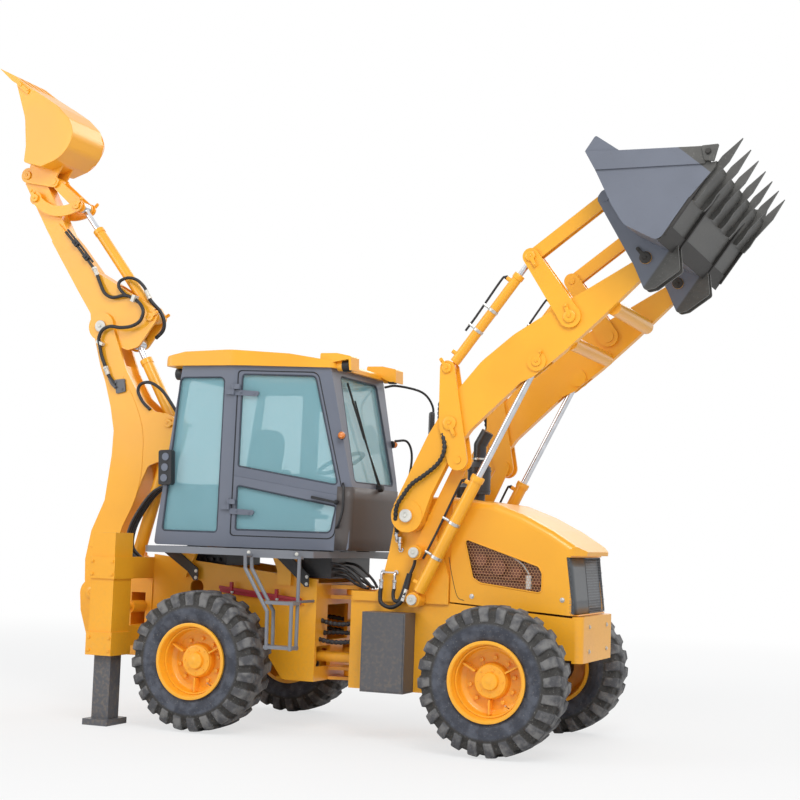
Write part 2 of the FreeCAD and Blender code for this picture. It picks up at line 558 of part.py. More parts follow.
# ---- cab ----------------------------------------------------------------------------------------
CAB_SIDE = [(-1725, CAB_SILL, 30), (-1533, 2830), (-330, 2830), (-140, 1900), (-150, CAB_SILL, 30)]
CAB_SIDE_IN = [(-1675, 1450), (-1490, 2900), (-372, 2900), (-187, 1905), (-196, 1450)]
PILLAR_X = -1050.0
CAB_PLAN = [(-1740, -740, 40), (PILLAR_X, -740, 200), (-130, -475, 60), (-130, 475, 60),
            (PILLAR_X, 740, 200), (-1740, 740, 40)]
CAB_PLAN_IN = [(-1740, -695), (PILLAR_X, -695, 160), (-150, -433), (-150, 433),
               (PILLAR_X, 695, 160), (-1740, 695)]
DOOR = [(-1046, 1500, 30), (-1036, 2790, 30), (-425, 2790, 60), (-212, 1880, 60), (-265, 1500, 60)]
DOOR_GLASS = [(-985, 2090, 30), (-982, 2735, 40), (-462, 2735, 40), (-300, 1985, 30),
              (-620, 2040)]
DOOR_GLASS_LOW = [(-985, 1560, 30), (-985, 1815, 20), (-290, 1700, 20), (-318, 1560, 40)]
HINGE = (PILLAR_X - 14, -756.0)
HINGE_PIN = 6.0

cab_outer = slab(CAB_SIDE, -760, 760).common(plan(CAB_PLAN, CAB_SILL, 2830))
cab_inner = slab(CAB_SIDE_IN, -760, 760).common(plan(CAB_PLAN_IN, CAB_SILL, 2900))
wall = cab_outer.cut(cab_inner)
door_way = slab(inset(DOOR, -SIDE_GAP - 1), -900, -380)
rear_side = [(-1655, 1520, 30), (-1545, 2740, 40), (-1150, 2740, 40), (-1160, 1520, 30)]
windscreen = cross([(-400, 1945, 40), (400, 1945, 40), (370, 2780, 40), (-370, 2780, 40)],
                   -420, -100)
rear_window = cross([(-610, 1900, 50), (610, 1900, 50), (610, 2740, 50), (-610, 2740, 50)],
                    -1800, -1440)
cab_shell = cut(wall, door_way, mirror(door_way), slab(rear_side, -760, 760), windscreen,
                rear_window)
knuckles = []
for z in (1700, 2600):
    knuckles.append(fuse(Part.makeCylinder(13, 40, V(HINGE[0], HINGE[1], z)),
                         Part.makeCylinder(HINGE_PIN, 86, V(HINGE[0], HINGE[1], z)),
                         box(HINGE[0] - 60, HINGE[0] - 4, HINGE[1] - 4, HINGE[1] + 32, z, z + 40)))
REAR_LAMP = [(-1680, 2150, 20), (-1568, 2156, 20), (-1556, 1885, 20), (-1668, 1880, 20)]
lamp_box = fuse(slab(REAR_LAMP, -800, -738), *[pin((-1618 + dz * 0.04, 2018 + dz), -808, -799, 30)
                                               for dz in (-84, 0, 84)])
cab_shell = fuse(cab_shell, *knuckles, *[mirror(k) for k in knuckles], *both(lamp_box))
part("cab_shell", cab_shell)

door = wall.common(slab(DOOR, -900, -380)).cut(slab(DOOR_GLASS, -900, -380))
door = door.cut(slab(DOOR_GLASS_LOW, -900, -380))
for z in (1700, 2600):
    door = fuse(door, Part.makeCylinder(13, 40, V(HINGE[0], HINGE[1], z + 42)),
                box(HINGE[0], HINGE[0] + 60, HINGE[1] - 6, HINGE[1] + 11, z + 42, z + 82),
                box(PILLAR_X + 12, HINGE[0] + 60, HINGE[1] - 6, HINGE[1] + 32, z + 42, z + 82))
    door = door.cut(Part.makeCylinder(HINGE_PIN + PIN_GAP, 60, V(HINGE[0], HINGE[1], z + 36)))
door = fuse(door, box(-370, -345, -590, -520, 1775, 1805),
            box(-370, -270, -598, -586, 1772, 1808))
part("door_right", door)
part("door_left", mirror(door))

ROOF_SIDE = [(-1690, 2830), (-1667, 2905, 40), (-1500, 2942), (-1110, 2954, 900), (-640, 2932),
             (-290, 2880, 30), (-290, 2830)]
ROOF_PLAN = [(-1690, -770, 70), (PILLAR_X, -770, 240), (-290, -545, 70), (-290, 545, 70),
             (PILLAR_X, 770, 240), (-1690, 770, 70)]
roof = slab(ROOF_SIDE, -800, 800).common(plan(ROOF_PLAN, 2800, 3000))


def work_lamp(x, y, z, aim):
    """Round lamp with a bezel, pointing along X by aim, 1 or -1."""
    ends = [(x, y, z), (x + aim * 78, y, z), (x + aim * 92, y, z)]
    dish = rod((x + aim * 84, y, z), (x + aim * 100, y, z), LAMP_R - 6)
    return fuse(rod(ends[0], ends[1], LAMP_R - 5), rod(ends[1], ends[2], LAMP_R)).cut(dish)


LAMP_R = 48.0
POD = [(-420, 2870), (-420, 2945, 12), (-278, 2944), (-158, 2919, 12), (-154, 2809), (-168, 2809),
       (-178, 2896), (-330, 2870)]
POD_CHEEK = [(-330, 2862), (-330, 2930), (-278, 2930), (-170, 2908), (-158, 2815), (-215, 2815),
             (-285, 2850)]
for s in (-1, 1):
    y_out, y_in = s * 545, s * 385
    roof = fuse(roof, slab(POD, *sorted((y_out, y_in))),
                slab(POD_CHEEK, *sorted((y_in, y_in + s * 14))),
                work_lamp(-292, s * 470, 2852, 1),
                box(-302, -262, *sorted((s * 455, s * 485)), 2852, 2900))
    roof = fuse(roof, work_lamp(-1600, s * 520, 2790, -1),
                box(-1640, -1610, *sorted((s * 508, s * 532)), 2800, 2840))
part("cab_roof", roof)

PLATFORM = [(-1725, -900, 60), (-1725, 900, 60), (-420, 900, 20), (-300, 780, 20),
            (-300, -780, 20), (-420, -900, 20)]
platform = plan(PLATFORM, 1350, 1400)
seat_mounts = [box(x, x + 120, y, y + 120, 1400, CAB_SILL)
               for x in (-1600, -420) for y in (-420, 300)]
LADDER_TUBE = 14.0


def tubes(points, r):
    """Round tube through points, with a ball at each bend."""
    pieces = [rod(a, b, r) for a, b in zip(points, points[1:])]
    return pieces + [Part.makeSphere(r, V(*p)) for p in points[1:-1]]


ladder = []
for y, top in ((-897, 1355), (-1002, 1010)):
    ladder += tubes([(-765, y, 1355), (-760, y, 1258), (-562, y, 945), (-557, y, 662)], LADDER_TUBE)
    ladder += tubes([(-362, y, top), (-362, y, 662)], LADDER_TUBE)
for z in (668, 998):
    ladder.append(box(-580, -345, -1010, -890, z, z + 24))
ladder.append(rod((-765, -890, 1355), (-765, -1010, 1355), LADDER_TUBE))
ladder.append(box(-790, -345, -905, -860, 1340, 1360))
ladder.append(rod((-455, -895, 1011), (-455, -REAR_HALF, 1011), 11))
ladder = fuse(*ladder)
side_platforms = fuse(platform, *seat_mounts, *both(ladder))
part("side_platforms", side_platforms)

part("seat", fuse(box(-1120, -760, -190, 190, 1450, 1720),
                  slab([(-1200, 1715, 40), (-650, 1735, 50), (-650, 1840, 45), (-1180, 1840)],
                       -250, 250),
                  slab([(-1200, 1720, 40), (-1060, 1760, 40), (-1140, 2380, 60),
                        (-1260, 2370, 50)], -235, 235)))
column = fuse(box(-330, -205, -330, 330, 1450, 1860),
              rod((-300, 0, 1800), (-450, 0, 2110), 45))
rim_ring = Part.makeTorus(190, 16, V(-450, 0, 2110), V(-150, 0, 310))
spokes = [Part.makeCylinder(12, 380, V(-450, -190, 2110), V(0, 1, 0))]
part("cab_console", fuse(column, rim_ring, *spokes,
                         box(-1420, -1280, -520, 520, 1450, 1900),
                         rod((-1350, -250, 1900), (-1330, -250, 2150), 12),
                         rod((-1350, 250, 1900), (-1330, 250, 2150), 12)))

# ---- backhoe ------------------------------------------------------------------------------------
LEG_X, LEG_Y, LEG_HALF = -1980.0, 920.0, 75.0
LEG_LIFT = 450.0
SWING_LUGS = ((500.0, 560.0), (960.0, 1015.0))
POST_R = 85.0
leg_box = cut(box(LEG_X - 105, LEG_X + 100, -LEG_Y - 130, -LEG_Y + 130, 537, 1490),
              box(LEG_X - LEG_HALF - 6, LEG_X + LEG_HALF + 6, -LEG_Y - LEG_HALF - 6,
                  -LEG_Y + LEG_HALF + 6, 600, 1478),
              box(LEG_X - LEG_HALF - 0.3, LEG_X + LEG_HALF + 0.3, -LEG_Y - LEG_HALF - 0.3,
                  -LEG_Y + LEG_HALF + 0.3, 500, 601))
collars = [box(LEG_X - 118, LEG_X + 112, -LEG_Y - 142, -LEG_Y + 142, z0, z1).cut(
    box(LEG_X - 100, LEG_X + 95, -LEG_Y - 120, -LEG_Y + 120, z0 - 5, z1 + 5))
    for z0, z1 in ((537, 715), (1130, 1300))]
carriage = fuse(
    box(LEG_X + 20, -1900, -790, 790, 1130, 1300), box(LEG_X + 20, -1900, -790, 790, 600, 760),
    box(-2130, LEG_X + 20, -430, 430, 500, 620), box(-2130, LEG_X + 20, -430, 430, 1010, 1250),
    box(-2130, -2090, -430, 430, 620, 1010), box(LEG_X + 20, -1900, -430, -330, 760, 1130),
    box(LEG_X + 20, -1900, 330, 430, 760, 1130))
for z0, z1 in SWING_LUGS:
    carriage = fuse(carriage, box(SWING_X, -2100, -100, 100, z0, z1),
                    Part.makeCylinder(100, z1 - z0, V(SWING_X, 0, z0)))
carriage = fuse(carriage, Part.makeCylinder(38, SWING_LUGS[1][1] - SWING_LUGS[0][0],
                                            V(SWING_X, 0, SWING_LUGS[0][0])))
for s in (-1, 1):
    carriage = fuse(carriage, rod((-1990, s * 425, 900), (-1990, s * 620, 900), 48),
                    rod((-1990, s * 610, 900), (-1990, s * 795, 900), 25))
part("backhoe_frame", fuse(carriage, *both(fuse(leg_box, *collars))))
leg = fuse(box(LEG_X - LEG_HALF, LEG_X + LEG_HALF, -LEG_Y - LEG_HALF, -LEG_Y + LEG_HALF, 45, 1018),
           box(LEG_X - LEG_HALF - 5, LEG_X + LEG_HALF + 5, -LEG_Y - LEG_HALF - 5,
               -LEG_Y + LEG_HALF + 5, 960, 1018),
           box(LEG_X - 110, LEG_X + 110, -LEG_Y - 145, -LEG_Y + 145, 0, 48))
part("stabilizer_leg_right", leg)
part("stabilizer_leg_left", mirror(leg))

POST_PLATE = [(-2430, 600), (-2430, 1090), (-2560, 1180), (-2700, 1085, 60), (-2775, 960, 60),
              (-2762, 820), (-2650, 492, 25), (-2560, 492, 40)]
post_side = fuse(slab(POST_PLATE, -145, -120), strap(BOOM_FOOT, 116, BOOM_CYL_BASE, 76, -145, -120),
                 pin(BOOM_CYL_BASE, -145, -62, 70))
post_side = cut(post_side, Part.makeCylinder(108, 90, V(SWING_X, 0, 940)))
hub = fuse(Part.makeCylinder(POST_R, SWING_LUGS[1][0] - SWING_LUGS[0][1] - 10,
                             V(SWING_X, 0, SWING_LUGS[0][1] + 5)),
           box(-2540, SWING_X - 20, -145, 145, 610, 940))
post = fuse(post_side, mirror(post_side), hub, pin(BOOM_FOOT, -150, 150, 40),
            pin(BOOM_CYL_BASE, -150, 150, 30))
part("kingpost", cut(post, Part.makeCylinder(38 + PIN_GAP, 500, V(SWING_X, 0, 500))))

BOOM_BOX = [(-2575, 1060, 60), (-2500, 1300, 200), (-2410, 1552), (-2314, 1749), (-2246, 1937),
            (-2230, 2107, 200), (-2240, 2361, 200), (-2330, 2617), (-2470, 2841), (-2500, 2920),
            (-2700, 2920), (-2655, 2773), (-2589, 2557, 200), (-2547, 2354), (-2554, 2145, 200),
            (-2602, 1759), (-2719, 1495), (-2766, 1252), (-2755, 1000, 60)]
BOOM_PLATE = [(-2575, 1060, 60), (-2500, 1300, 200), (-2410, 1552), (-2314, 1749),
              (-2246, 1937), (-2190, 2060, 60), (-2030, 2115, 60), (-1985, 2200, 40),
              (-1940, 2400, 60), (-2010, 2500, 70), (-2150, 2520, 60), (-2304, 2640, 100),
              (-2446, 2865), (-2600, 3230), (-2660, 3330), (-2790, 3330), (-2800, 3210),
              (-2716, 2923), (-2655, 2773), (-2589, 2557, 200), (-2547, 2354),
              (-2554, 2145, 200), (-2602, 1759), (-2719, 1495), (-2766, 1252), (-2755, 1000, 60)]
boom_plate = fuse(slab(BOOM_PLATE, -110, -88), pin(DIPPER_PIN, -110, -88, 122),
                  pin(DIPPER_CYL_BASE, -110, -62, 68))
boom = fuse(slab(BOOM_BOX, -90, 90), pin(BOOM_FOOT, -112, 112, 98), *both(boom_plate),
            pin(DIPPER_PIN, -118, 118, 38), pin(DIPPER_CYL_BASE, -118, 118, 28))
boom = cut(bore(boom, BOOM_FOOT, 40), pin(BOOM_CYL_EYE, -60, 60, 75))
part("boom", boom)
boom_barrel, boom_rod = cylinder_set(BOOM_CYL_BASE, BOOM_CYL_EYE, 0, 54, 32, 870, 66, 70, 55,
                                     30, None)
part("boom_barrel", boom_barrel)
part("boom_rod", boom_rod)

DIPPER_MAIN = [(-2857, 3377, 60), (-3003, 3586), (-3300, 4030), (-3240, 4190), (-3060, 4010),
               (-2839, 3752), (-2544, 3590, 80), (-2230, 3420, 60), (-2200, 3300, 50),
               (-2360, 3080, 70), (-2470, 3050, 60), (-2700, 3140), (-2840, 3200, 60)]
DIPPER_END = [(-3300, 4030), (-3368, 4134), (-3626, 4570), (-3587, 4705, 30), (-3400, 4560, 80),
              (-3128, 4079), (-3060, 4010)]
TAIL_HOLLOW = [(-2800, 3030), (-2729, 3260), (-2590, 3340), (-2650, 3640, 80), (-2400, 3700),
               (-2000, 3400), (-2200, 2900)]
dipper_main = cut(slab(DIPPER_MAIN, -84, 84), slab(TAIL_HOLLOW, -60, 60))
dipper = fuse(dipper_main, slab(DIPPER_END, -66, 66), pin(DIGGER_PIN, -66, 66, 70),
              pin(DIGGER_LEVER_PIN, -66, 66, 62), pin(DIPPER_PIN, -84, 84, 118),
              pin(DIGGER_CYL_BASE, -92, 92, 26), pin(DIGGER_LEVER_PIN, -126, 126, 26),
              cut(pin(DIGGER_CYL_BASE, -84, 84, 62), pin(DIGGER_CYL_BASE, -60, 60, 62)))
dipper = cut(bore(dipper, DIPPER_PIN, 38), pin(DIPPER_CYL_EYE, -60, 60, 75))
part("dipper", dipper)
dipper_barrel, dipper_rod = cylinder_set(DIPPER_CYL_BASE, DIPPER_CYL_EYE, 0, 50, 28, 640, 62, 55,
                                         52, 28, None)
part("dipper_barrel", dipper_barrel)
part("dipper_rod", dipper_rod)
digger_barrel, digger_rod = cylinder_set(DIGGER_CYL_BASE, DIGGER_JOINT, 0, 45, 25, 1010, 46, 55,
                                         40, 26, None)
part("digger_barrel", digger_barrel)
part("digger_rod", digger_rod)



def hook(p, rp, q, rq, sag, half, y0, y1):
    """Curved plate between bosses at p and q, bowed by sag to the right of the way p to q."""
    dx, dz = q[0] - p[0], q[1] - p[1]
    d = math.hypot(dx, dz)
    radius = (d * d / 4 + sag * sag) / (2 * sag)
    n = (dz / d, -dx / d)
    c = ((p[0] + q[0]) / 2 - n[0] * (radius - sag), (p[1] + q[1]) / 2 - n[1] * (radius - sag))
    far = [(c[0] + (e[0] - c[0]) * 3, c[1] + (e[1] - c[1]) * 3) for e in (p, q)]
    out = (c[0] + n[0] * radius * 3, c[1] + n[1] * radius * 3)
    band = pin(c, y0, y1, radius + half).cut(pin(c, y0, y1, radius - half))
    wedge = slab([c, far[0], out, far[1]], y0, y1)
    return fuse(band.common(wedge), pin(p, y0, y1, rp), pin(q, y0, y1, rq))


lever_plate = hook(DIGGER_LEVER_PIN, 58, DIGGER_JOINT, 52, 80, 46, -116, -98)
link_plate = strap(DIGGER_JOINT, 50, DIGGER_LINK_PIN, 44, -68, -48)
lever_stub = pin(DIGGER_JOINT, -122, -46, 24)
digger_lever = bore(fuse(lever_plate, lever_stub), DIGGER_LEVER_PIN, 26)
part("digger_lever", pair(digger_lever))
link_plate = bore(link_plate, DIGGER_JOINT, 24)
tie = strap(toward(DIGGER_JOINT, DIGGER_LINK_PIN, 130), 26,
            toward(DIGGER_JOINT, DIGGER_LINK_PIN, 240), 26, -50, 50)
part("digger_link", fuse(link_plate, mirror(link_plate), tie,
                         pin(DIGGER_LINK_PIN, -68, 68, 44)))

D_HALF = 250.0
D_SHELL = [(-3642, 5424, 10), (-3537, 5119, 300), (-3513, 4865), (-3525, 4720, 20),
           (-3338, 4672, 30), (-3198, 4720, 60), (-3069, 4819, 100), (-3026, 4954, 120),
           (-3076, 5087, 100), (-3197, 5203, 100), (-3339, 5295), (-3600, 5452)]
D_HOLLOW = [(-3700, 5440), (-3650, 5100), (-3700, 4760), (-3500, 4733), (-3338, 4690, 30),
            (-3205, 4738, 50), (-3082, 4830, 88), (-3044, 4955, 105), (-3090, 5076, 90),
            (-3207, 5189, 90), (-3346, 5280), (-3610, 5428)]
D_LIP = (-3610.0, 5440.0)
D_TIP = (-3847.0, 5598.0)
ear = cut(fuse(slab([(-3587, 4640), (-3560, 4760), (-3330, 4740), (-3200, 4760),
                     (-3313, 4569)], -92, -72), strap(DIGGER_PIN, 68, DIGGER_LINK_PIN, 50,
                                                      -92, -72)))
digger_bucket = cut(slab(D_SHELL, -D_HALF, D_HALF), slab(D_HOLLOW, -D_HALF + 14, D_HALF - 14))
ears = [ear, mirror(ear)]
digger_teeth = [tooth(D_LIP, D_TIP, y, 50, 26) for y in (-215, -107, 0, 107, 215)]
digger_bucket = fuse(digger_bucket, *[e.cut(slab(D_HOLLOW, -236, 236)) for e in ears],
                     *digger_teeth, *both(pin(DIGGER_LINK_PIN, -98, -74, 30)))
part("digger_bucket", bore(digger_bucket, DIGGER_PIN, 28))
dipper = fuse(PARTS["dipper"], pin(DIGGER_PIN, -96, 96, 28))
part("dipper", dipper)

# ---- write out ----------------------------------------------------------------------------------
os.makedirs("parts", exist_ok=True)
for part_name, solid in PARTS.items():
    solid = solid.copy()
    solid.translate(V(ORIGIN_X, 0, 0))
    solid.exportStep(os.path.join("parts", part_name + ".step"))
    print(part_name, len(solid.Solids), round(solid.Volume / 1e9, 4), solid.isValid())
print(len(PARTS), "pieces")
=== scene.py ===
"""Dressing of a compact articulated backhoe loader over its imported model.

Lengths are metres. Every assembly is drawn from the middle of the wheelbase, with X forward,
Y left and Z up from the ground, and is moved forward by ORIGIN into the frame of the model.
"""
import json
import logging
import math
from collections.abc import Callable
from dataclasses import dataclass
from enum import Enum
from functools import lru_cache

import bpy
import numpy as np
from mathutils import Matrix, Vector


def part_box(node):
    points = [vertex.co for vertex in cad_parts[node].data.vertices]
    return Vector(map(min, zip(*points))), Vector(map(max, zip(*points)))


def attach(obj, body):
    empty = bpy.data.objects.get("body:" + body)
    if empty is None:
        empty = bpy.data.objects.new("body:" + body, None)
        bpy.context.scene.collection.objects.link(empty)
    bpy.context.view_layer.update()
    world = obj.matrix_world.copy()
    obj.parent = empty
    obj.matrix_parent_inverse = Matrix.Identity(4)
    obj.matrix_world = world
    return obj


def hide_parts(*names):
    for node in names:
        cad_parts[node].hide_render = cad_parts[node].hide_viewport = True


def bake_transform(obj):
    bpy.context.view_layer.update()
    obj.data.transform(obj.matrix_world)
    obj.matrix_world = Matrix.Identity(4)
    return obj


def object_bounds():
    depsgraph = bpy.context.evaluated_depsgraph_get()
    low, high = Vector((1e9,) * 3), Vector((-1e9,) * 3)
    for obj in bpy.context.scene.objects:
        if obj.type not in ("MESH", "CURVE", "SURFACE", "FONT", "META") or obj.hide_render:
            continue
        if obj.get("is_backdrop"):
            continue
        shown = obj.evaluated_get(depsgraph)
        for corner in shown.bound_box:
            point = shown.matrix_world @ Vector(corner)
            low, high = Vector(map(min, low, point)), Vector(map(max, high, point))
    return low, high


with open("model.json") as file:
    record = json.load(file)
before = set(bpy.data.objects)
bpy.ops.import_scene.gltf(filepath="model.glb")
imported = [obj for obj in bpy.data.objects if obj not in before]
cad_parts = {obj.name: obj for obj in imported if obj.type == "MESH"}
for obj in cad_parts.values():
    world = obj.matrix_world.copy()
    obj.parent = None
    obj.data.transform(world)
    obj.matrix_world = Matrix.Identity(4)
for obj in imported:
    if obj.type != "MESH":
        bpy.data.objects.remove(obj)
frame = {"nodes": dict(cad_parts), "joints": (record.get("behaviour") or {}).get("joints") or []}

CAD_BOX = [list(corner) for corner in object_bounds()]
ORIGIN = np.array([0.47, 0.0, 0.0])
LOG = logging.getLogger("backhoe_loader")
AHEAD, LEFT, RIGHT, UP = (1, 0, 0), (0, 1, 0), (0, -1, 0), (0, 0, 1)
FLANK = 0.4505        # just outside the faces of the frames and the hood
ARM_LINE = 0.56       # middle of the lift arms and their cylinders
BOOM_FACE = 0.111     # just outside the boom's side plates
DIGGER_FACE = 0.2505  # just outside the digging bucket's cheeks
BUCKET_HEEL = (2.348, 3.628)   # x and z where the loader bucket's bottom plate starts
BUCKET_FLOOR = (0.571, 0.821)  # the way it runs from there
BUCKET_EDGE = (0.636, 0.772)   # the way across its cutting edge
SIDES = ((-1, "right"), (1, "left"))
Sheet = Callable[..., np.ndarray]  # turns coordinates on a sheet into points in space
Wall = Callable[[float], Sheet]    # the sheet that lies at a depth in a wall
DUST, SCUFF = (150, 132, 108), (140, 132, 120)  # screen colours of dust and of worn plastic


# ---- shader helpers ------------------------------------------------------------------------------
class Value:
    """A shader socket that takes part in sums, differences and products."""

    def __init__(self, graph: "Graph", socket: bpy.types.NodeSocket) -> None:
        """Wrap a socket of a graph."""
        self.graph, self.socket = graph, socket

    def __add__(self, other: "Value | float") -> "Value":
        """Sum."""
        return self.graph.math("ADD", self, other)

    def __sub__(self, other: "Value | float") -> "Value":
        """Difference."""
        return self.graph.math("SUBTRACT", self, other)

    def __rsub__(self, other: float) -> "Value":
        """Difference from a number."""
        return self.graph.math("SUBTRACT", other, self)

    def __mul__(self, other: "Value | float") -> "Value":
        """Product."""
        return self.graph.math("MULTIPLY", self, other)

    def step(self, low: float, high: float) -> "Value":
        """Smooth step: 0 below low, 1 above high, an S curve between."""
        return self.graph.value("ShaderNodeMapRange", {"interpolation_type": "SMOOTHSTEP"},
                                {"Value": self, "From Min": low, "From Max": high}, "Result")


class Graph:
    """The node tree of one material or world."""

    def __init__(self, owner: "bpy.types.Material | bpy.types.World",
                 output: str = "ShaderNodeOutputMaterial") -> None:
        """Empty the owner's tree and give it an output node."""
        self.owner = owner
        owner.use_nodes = True
        self.tree = owner.node_tree
        self.tree.nodes.clear()
        self.output = self.add(output)

    def add(self, kind: str, settings: dict | None = None,
            sockets: dict | None = None) -> bpy.types.Node:
        """Add one node.

        Args:
            kind: the node's type name.
            settings: its properties, set before the sockets.
            sockets: a value, colour or Value for each named or numbered input.

        Returns:
            The node.
        """
        node = self.tree.nodes.new(kind)
        for key, value in (settings or {}).items():
            setattr(node, key, value)
        for key, value in (sockets or {}).items():
            socket = node.inputs[key]
            if isinstance(value, Value):
                self.tree.links.new(value.socket, socket)
            elif isinstance(value, tuple) and socket.type == "RGBA" and len(value) == 3:
                socket.default_value = (*value, 1)
            else:
                socket.default_value = value
        return node

    def value(self, kind: str, settings: dict | None = None, sockets: dict | None = None,
              output: "int | str" = 0) -> Value:
        """One output of a new node; the other arguments are those of add."""
        return Value(self, self.add(kind, settings, sockets).outputs[output])

    def finish(self, shader: bpy.types.Node) -> None:
        """Link a shader to the output."""
        self.tree.links.new(shader.outputs[0], self.output.inputs[0])

    def math(self, operation: str, a: "Value | float", b: "Value | float" = 0.0) -> Value:
        """Result of one Math node on a and b."""
        return self.value("ShaderNodeMath", {"operation": operation}, {0: a, 1: b})

    def place(self) -> Value:
        """Object coordinates, in metres."""
        return self.value("ShaderNodeTexCoord", output="Object")

    def stretched(self, scale: tuple[float, float, float]) -> Value:
        """Object coordinates scaled along each axis."""
        return self.value("ShaderNodeMapping", {}, {"Vector": self.place(), "Scale": scale})

    def axis(self, name: str) -> Value:
        """One object coordinate: X, Y or Z."""
        return self.value("ShaderNodeSeparateXYZ", {}, {0: self.place()}, name)

    def noise(self, scale: float, detail: float = 4.0, vector: Value | None = None) -> Value:
        """Fractal noise between 0 and 1."""
        return self.value("ShaderNodeTexNoise", {}, {"Vector": vector or self.place(),
                                                     "Scale": scale, "Detail": detail})

    def wave(self, axis: str, scale: float, distortion: float = 0.0) -> Value:
        """Parallel bands across an axis, between 0 and 1."""
        return self.value("ShaderNodeTexWave", {"bands_direction": axis}, {
            "Vector": self.place(), "Scale": scale, "Distortion": distortion}, 1)

    def rays(self, *kinds: str) -> Value:
        """1 for a ray of any of these kinds, 0 for the others."""
        path = self.add("ShaderNodeLightPath")
        found, *others = (Value(self, path.outputs[f"Is {kind} Ray"]) for kind in kinds)
        for other in others:
            found = self.math("MAXIMUM", found, other)
        return found

    def attribute(self, name: str) -> Value:
        """A number kept on the vertices under name."""
        return self.value("ShaderNodeAttribute", {"attribute_name": name}, output="Fac")

    def blend(self, factor: "Value | float", a: "Value | tuple",
              b: "Value | tuple") -> Value:
        """Colour a where factor is 0 and b where it is 1."""
        return self.value("ShaderNodeMix", {"data_type": "RGBA"}, {0: factor, 6: a, 7: b}, 2)

    def mottled(self, factor: Value, colour: tuple, dark: float, light: float) -> Value:
        """A colour between its dark and its light version."""
        return self.blend(factor, scaled(colour, dark), scaled(colour, light))

    def bump(self, height: Value, distance: float, strength: float = 1.0) -> Value:
        """Normal of a surface raised by height times distance."""
        return self.value("ShaderNodeBump", {}, {
            "Height": height, "Distance": distance, "Strength": strength})

    def surface(self, **sockets: "Value | float") -> None:
        """Finish with a Principled shader; underscores in names stand for spaces."""
        self.finish(self.add("ShaderNodeBsdfPrincipled", {},
                             {k.replace("_", " "): v for k, v in sockets.items()}))


def linear(red: int, green: int, blue: int) -> tuple[float, float, float]:
    """Scene-linear colour from screen values of 0 to 255."""
    c = np.array([red, green, blue]) / 255
    return tuple(np.where(c <= 0.04045, c / 12.92, ((c + 0.055) / 1.055) ** 2.4).tolist())


def scaled(colour: tuple, by: float) -> tuple:
    """Colour made lighter or darker."""
    return tuple(min(1.0, c * by) for c in colour)


# ---- finishes ------------------------------------------------------------------------------------
@dataclass(frozen=True)
class Coating:
    """A finish: its material's name and slot, and the shader that a kind of coating draws."""
    name: str
    slot: str

    @lru_cache(maxsize=None)
    def material(self) -> bpy.types.Material:
        """The material, built on first use."""
        graph = Graph(bpy.data.materials.new(self.name))
        self.draw(graph)
        return graph.owner

    def draw(self, g: Graph) -> None:
        """Fill the material's tree."""
        raise NotImplementedError


@dataclass(frozen=True)
class Paint(Coating):
    """Sprayed paint: slight orange peel, uneven gloss and dust that thickens near the ground."""
    colour: tuple
    rough: float = 0.36
    coat: float = 0.25
    dust: float = 0.25
    spread: float = 0.05

    def draw(self, g: Graph) -> None:
        """Draw the shader."""
        broad, fine = g.noise(1.7, 3), g.noise(38, 6)
        base = g.mottled(broad.step(0.3, 0.7), self.colour, 1 - self.spread, 1 + self.spread)
        low = 1 - g.axis("Z").step(0.25, 1.5)
        dust = (fine.step(0.42, 0.72) * (low * 0.9 + 0.12)) * self.dust
        base = g.blend(dust, base, linear(*DUST))
        rough = (broad * 0.12 + fine * 0.08) + (dust * 0.5 + (self.rough - 0.1))
        peel = g.noise(190, 2) * 0.35 + g.noise(5, 2) * 4.0
        g.surface(Base_Color=base, Roughness=rough, Coat_Weight=self.coat,
                  Coat_Roughness=0.12, Normal=g.bump(peel, 0.0006, 0.35))


@dataclass(frozen=True)
class BucketPaint(Coating):
    """Loader bucket: slate paint on the sides, scuffed primer worn to metal on bottom and cutting
    edge, the bottom also darkened as painted shade.
    """
    name: str = "bucket_paint"
    slot: str = "grey_paint"
    side: tuple = linear(107, 112, 124)
    # Worn primer of the bottom and cutting edge, darker and browner than the sides: partly painted
    # shade of the underside.
    under: tuple = linear(84, 83, 80)
    edge: tuple = (3.204, 4.128)

    def draw(self, g: Graph) -> None:
        """Draw the shader."""
        x, y, z = g.axis("X"), g.math("ABSOLUTE", g.axis("Y")), g.axis("Z")
        inboard = 1 - y.step(1.0488, 1.0492)
        # distances from the line of the bottom plate, and from a line along the cutting edge
        (heel_x, heel_z), (run, rise) = BUCKET_HEEL, BUCKET_FLOOR
        floor = z * run - (x - (heel_x + float(ORIGIN[0]))) * rise - heel_z * run
        below = 1 - floor.step(0.010, 0.03)
        (edge_x, edge_z), (run, rise) = self.edge, BUCKET_EDGE
        edge = (z * rise + (x - edge_x) * run - edge_z * rise).step(-0.05, -0.045)
        streak = g.noise(7, 6, g.stretched((1.0, 0.35, 1.0)))
        fine = g.noise(60, 5)
        side = g.mottled(g.noise(2.2, 3).step(0.35, 0.7), self.side, 0.95, 1.05)
        side = g.blend(fine.step(0.62, 0.75) * 0.12, side, linear(60, 60, 62))
        under = g.mottled(streak.step(0.35, 0.7), self.under, 0.82, 1.15)
        under = g.blend(fine.step(0.58, 0.72) * 0.35, under, linear(128, 126, 120))
        # Mask of the worn colour: the cutting edge, and the bottom plate, where it also paints
        # shade.
        bare_and_shaded = g.math("MAXIMUM", below * inboard, edge)
        base = g.blend(bare_and_shaded, side, under)
        rough = streak * 0.2 + (fine * 0.12 + 0.3)
        g.surface(Base_Color=base, Roughness=rough, Coat_Weight=0.1,
                  Normal=g.bump(g.noise(120, 3) * 0.5 + g.noise(6, 2) * 4, 0.0006, 0.4))


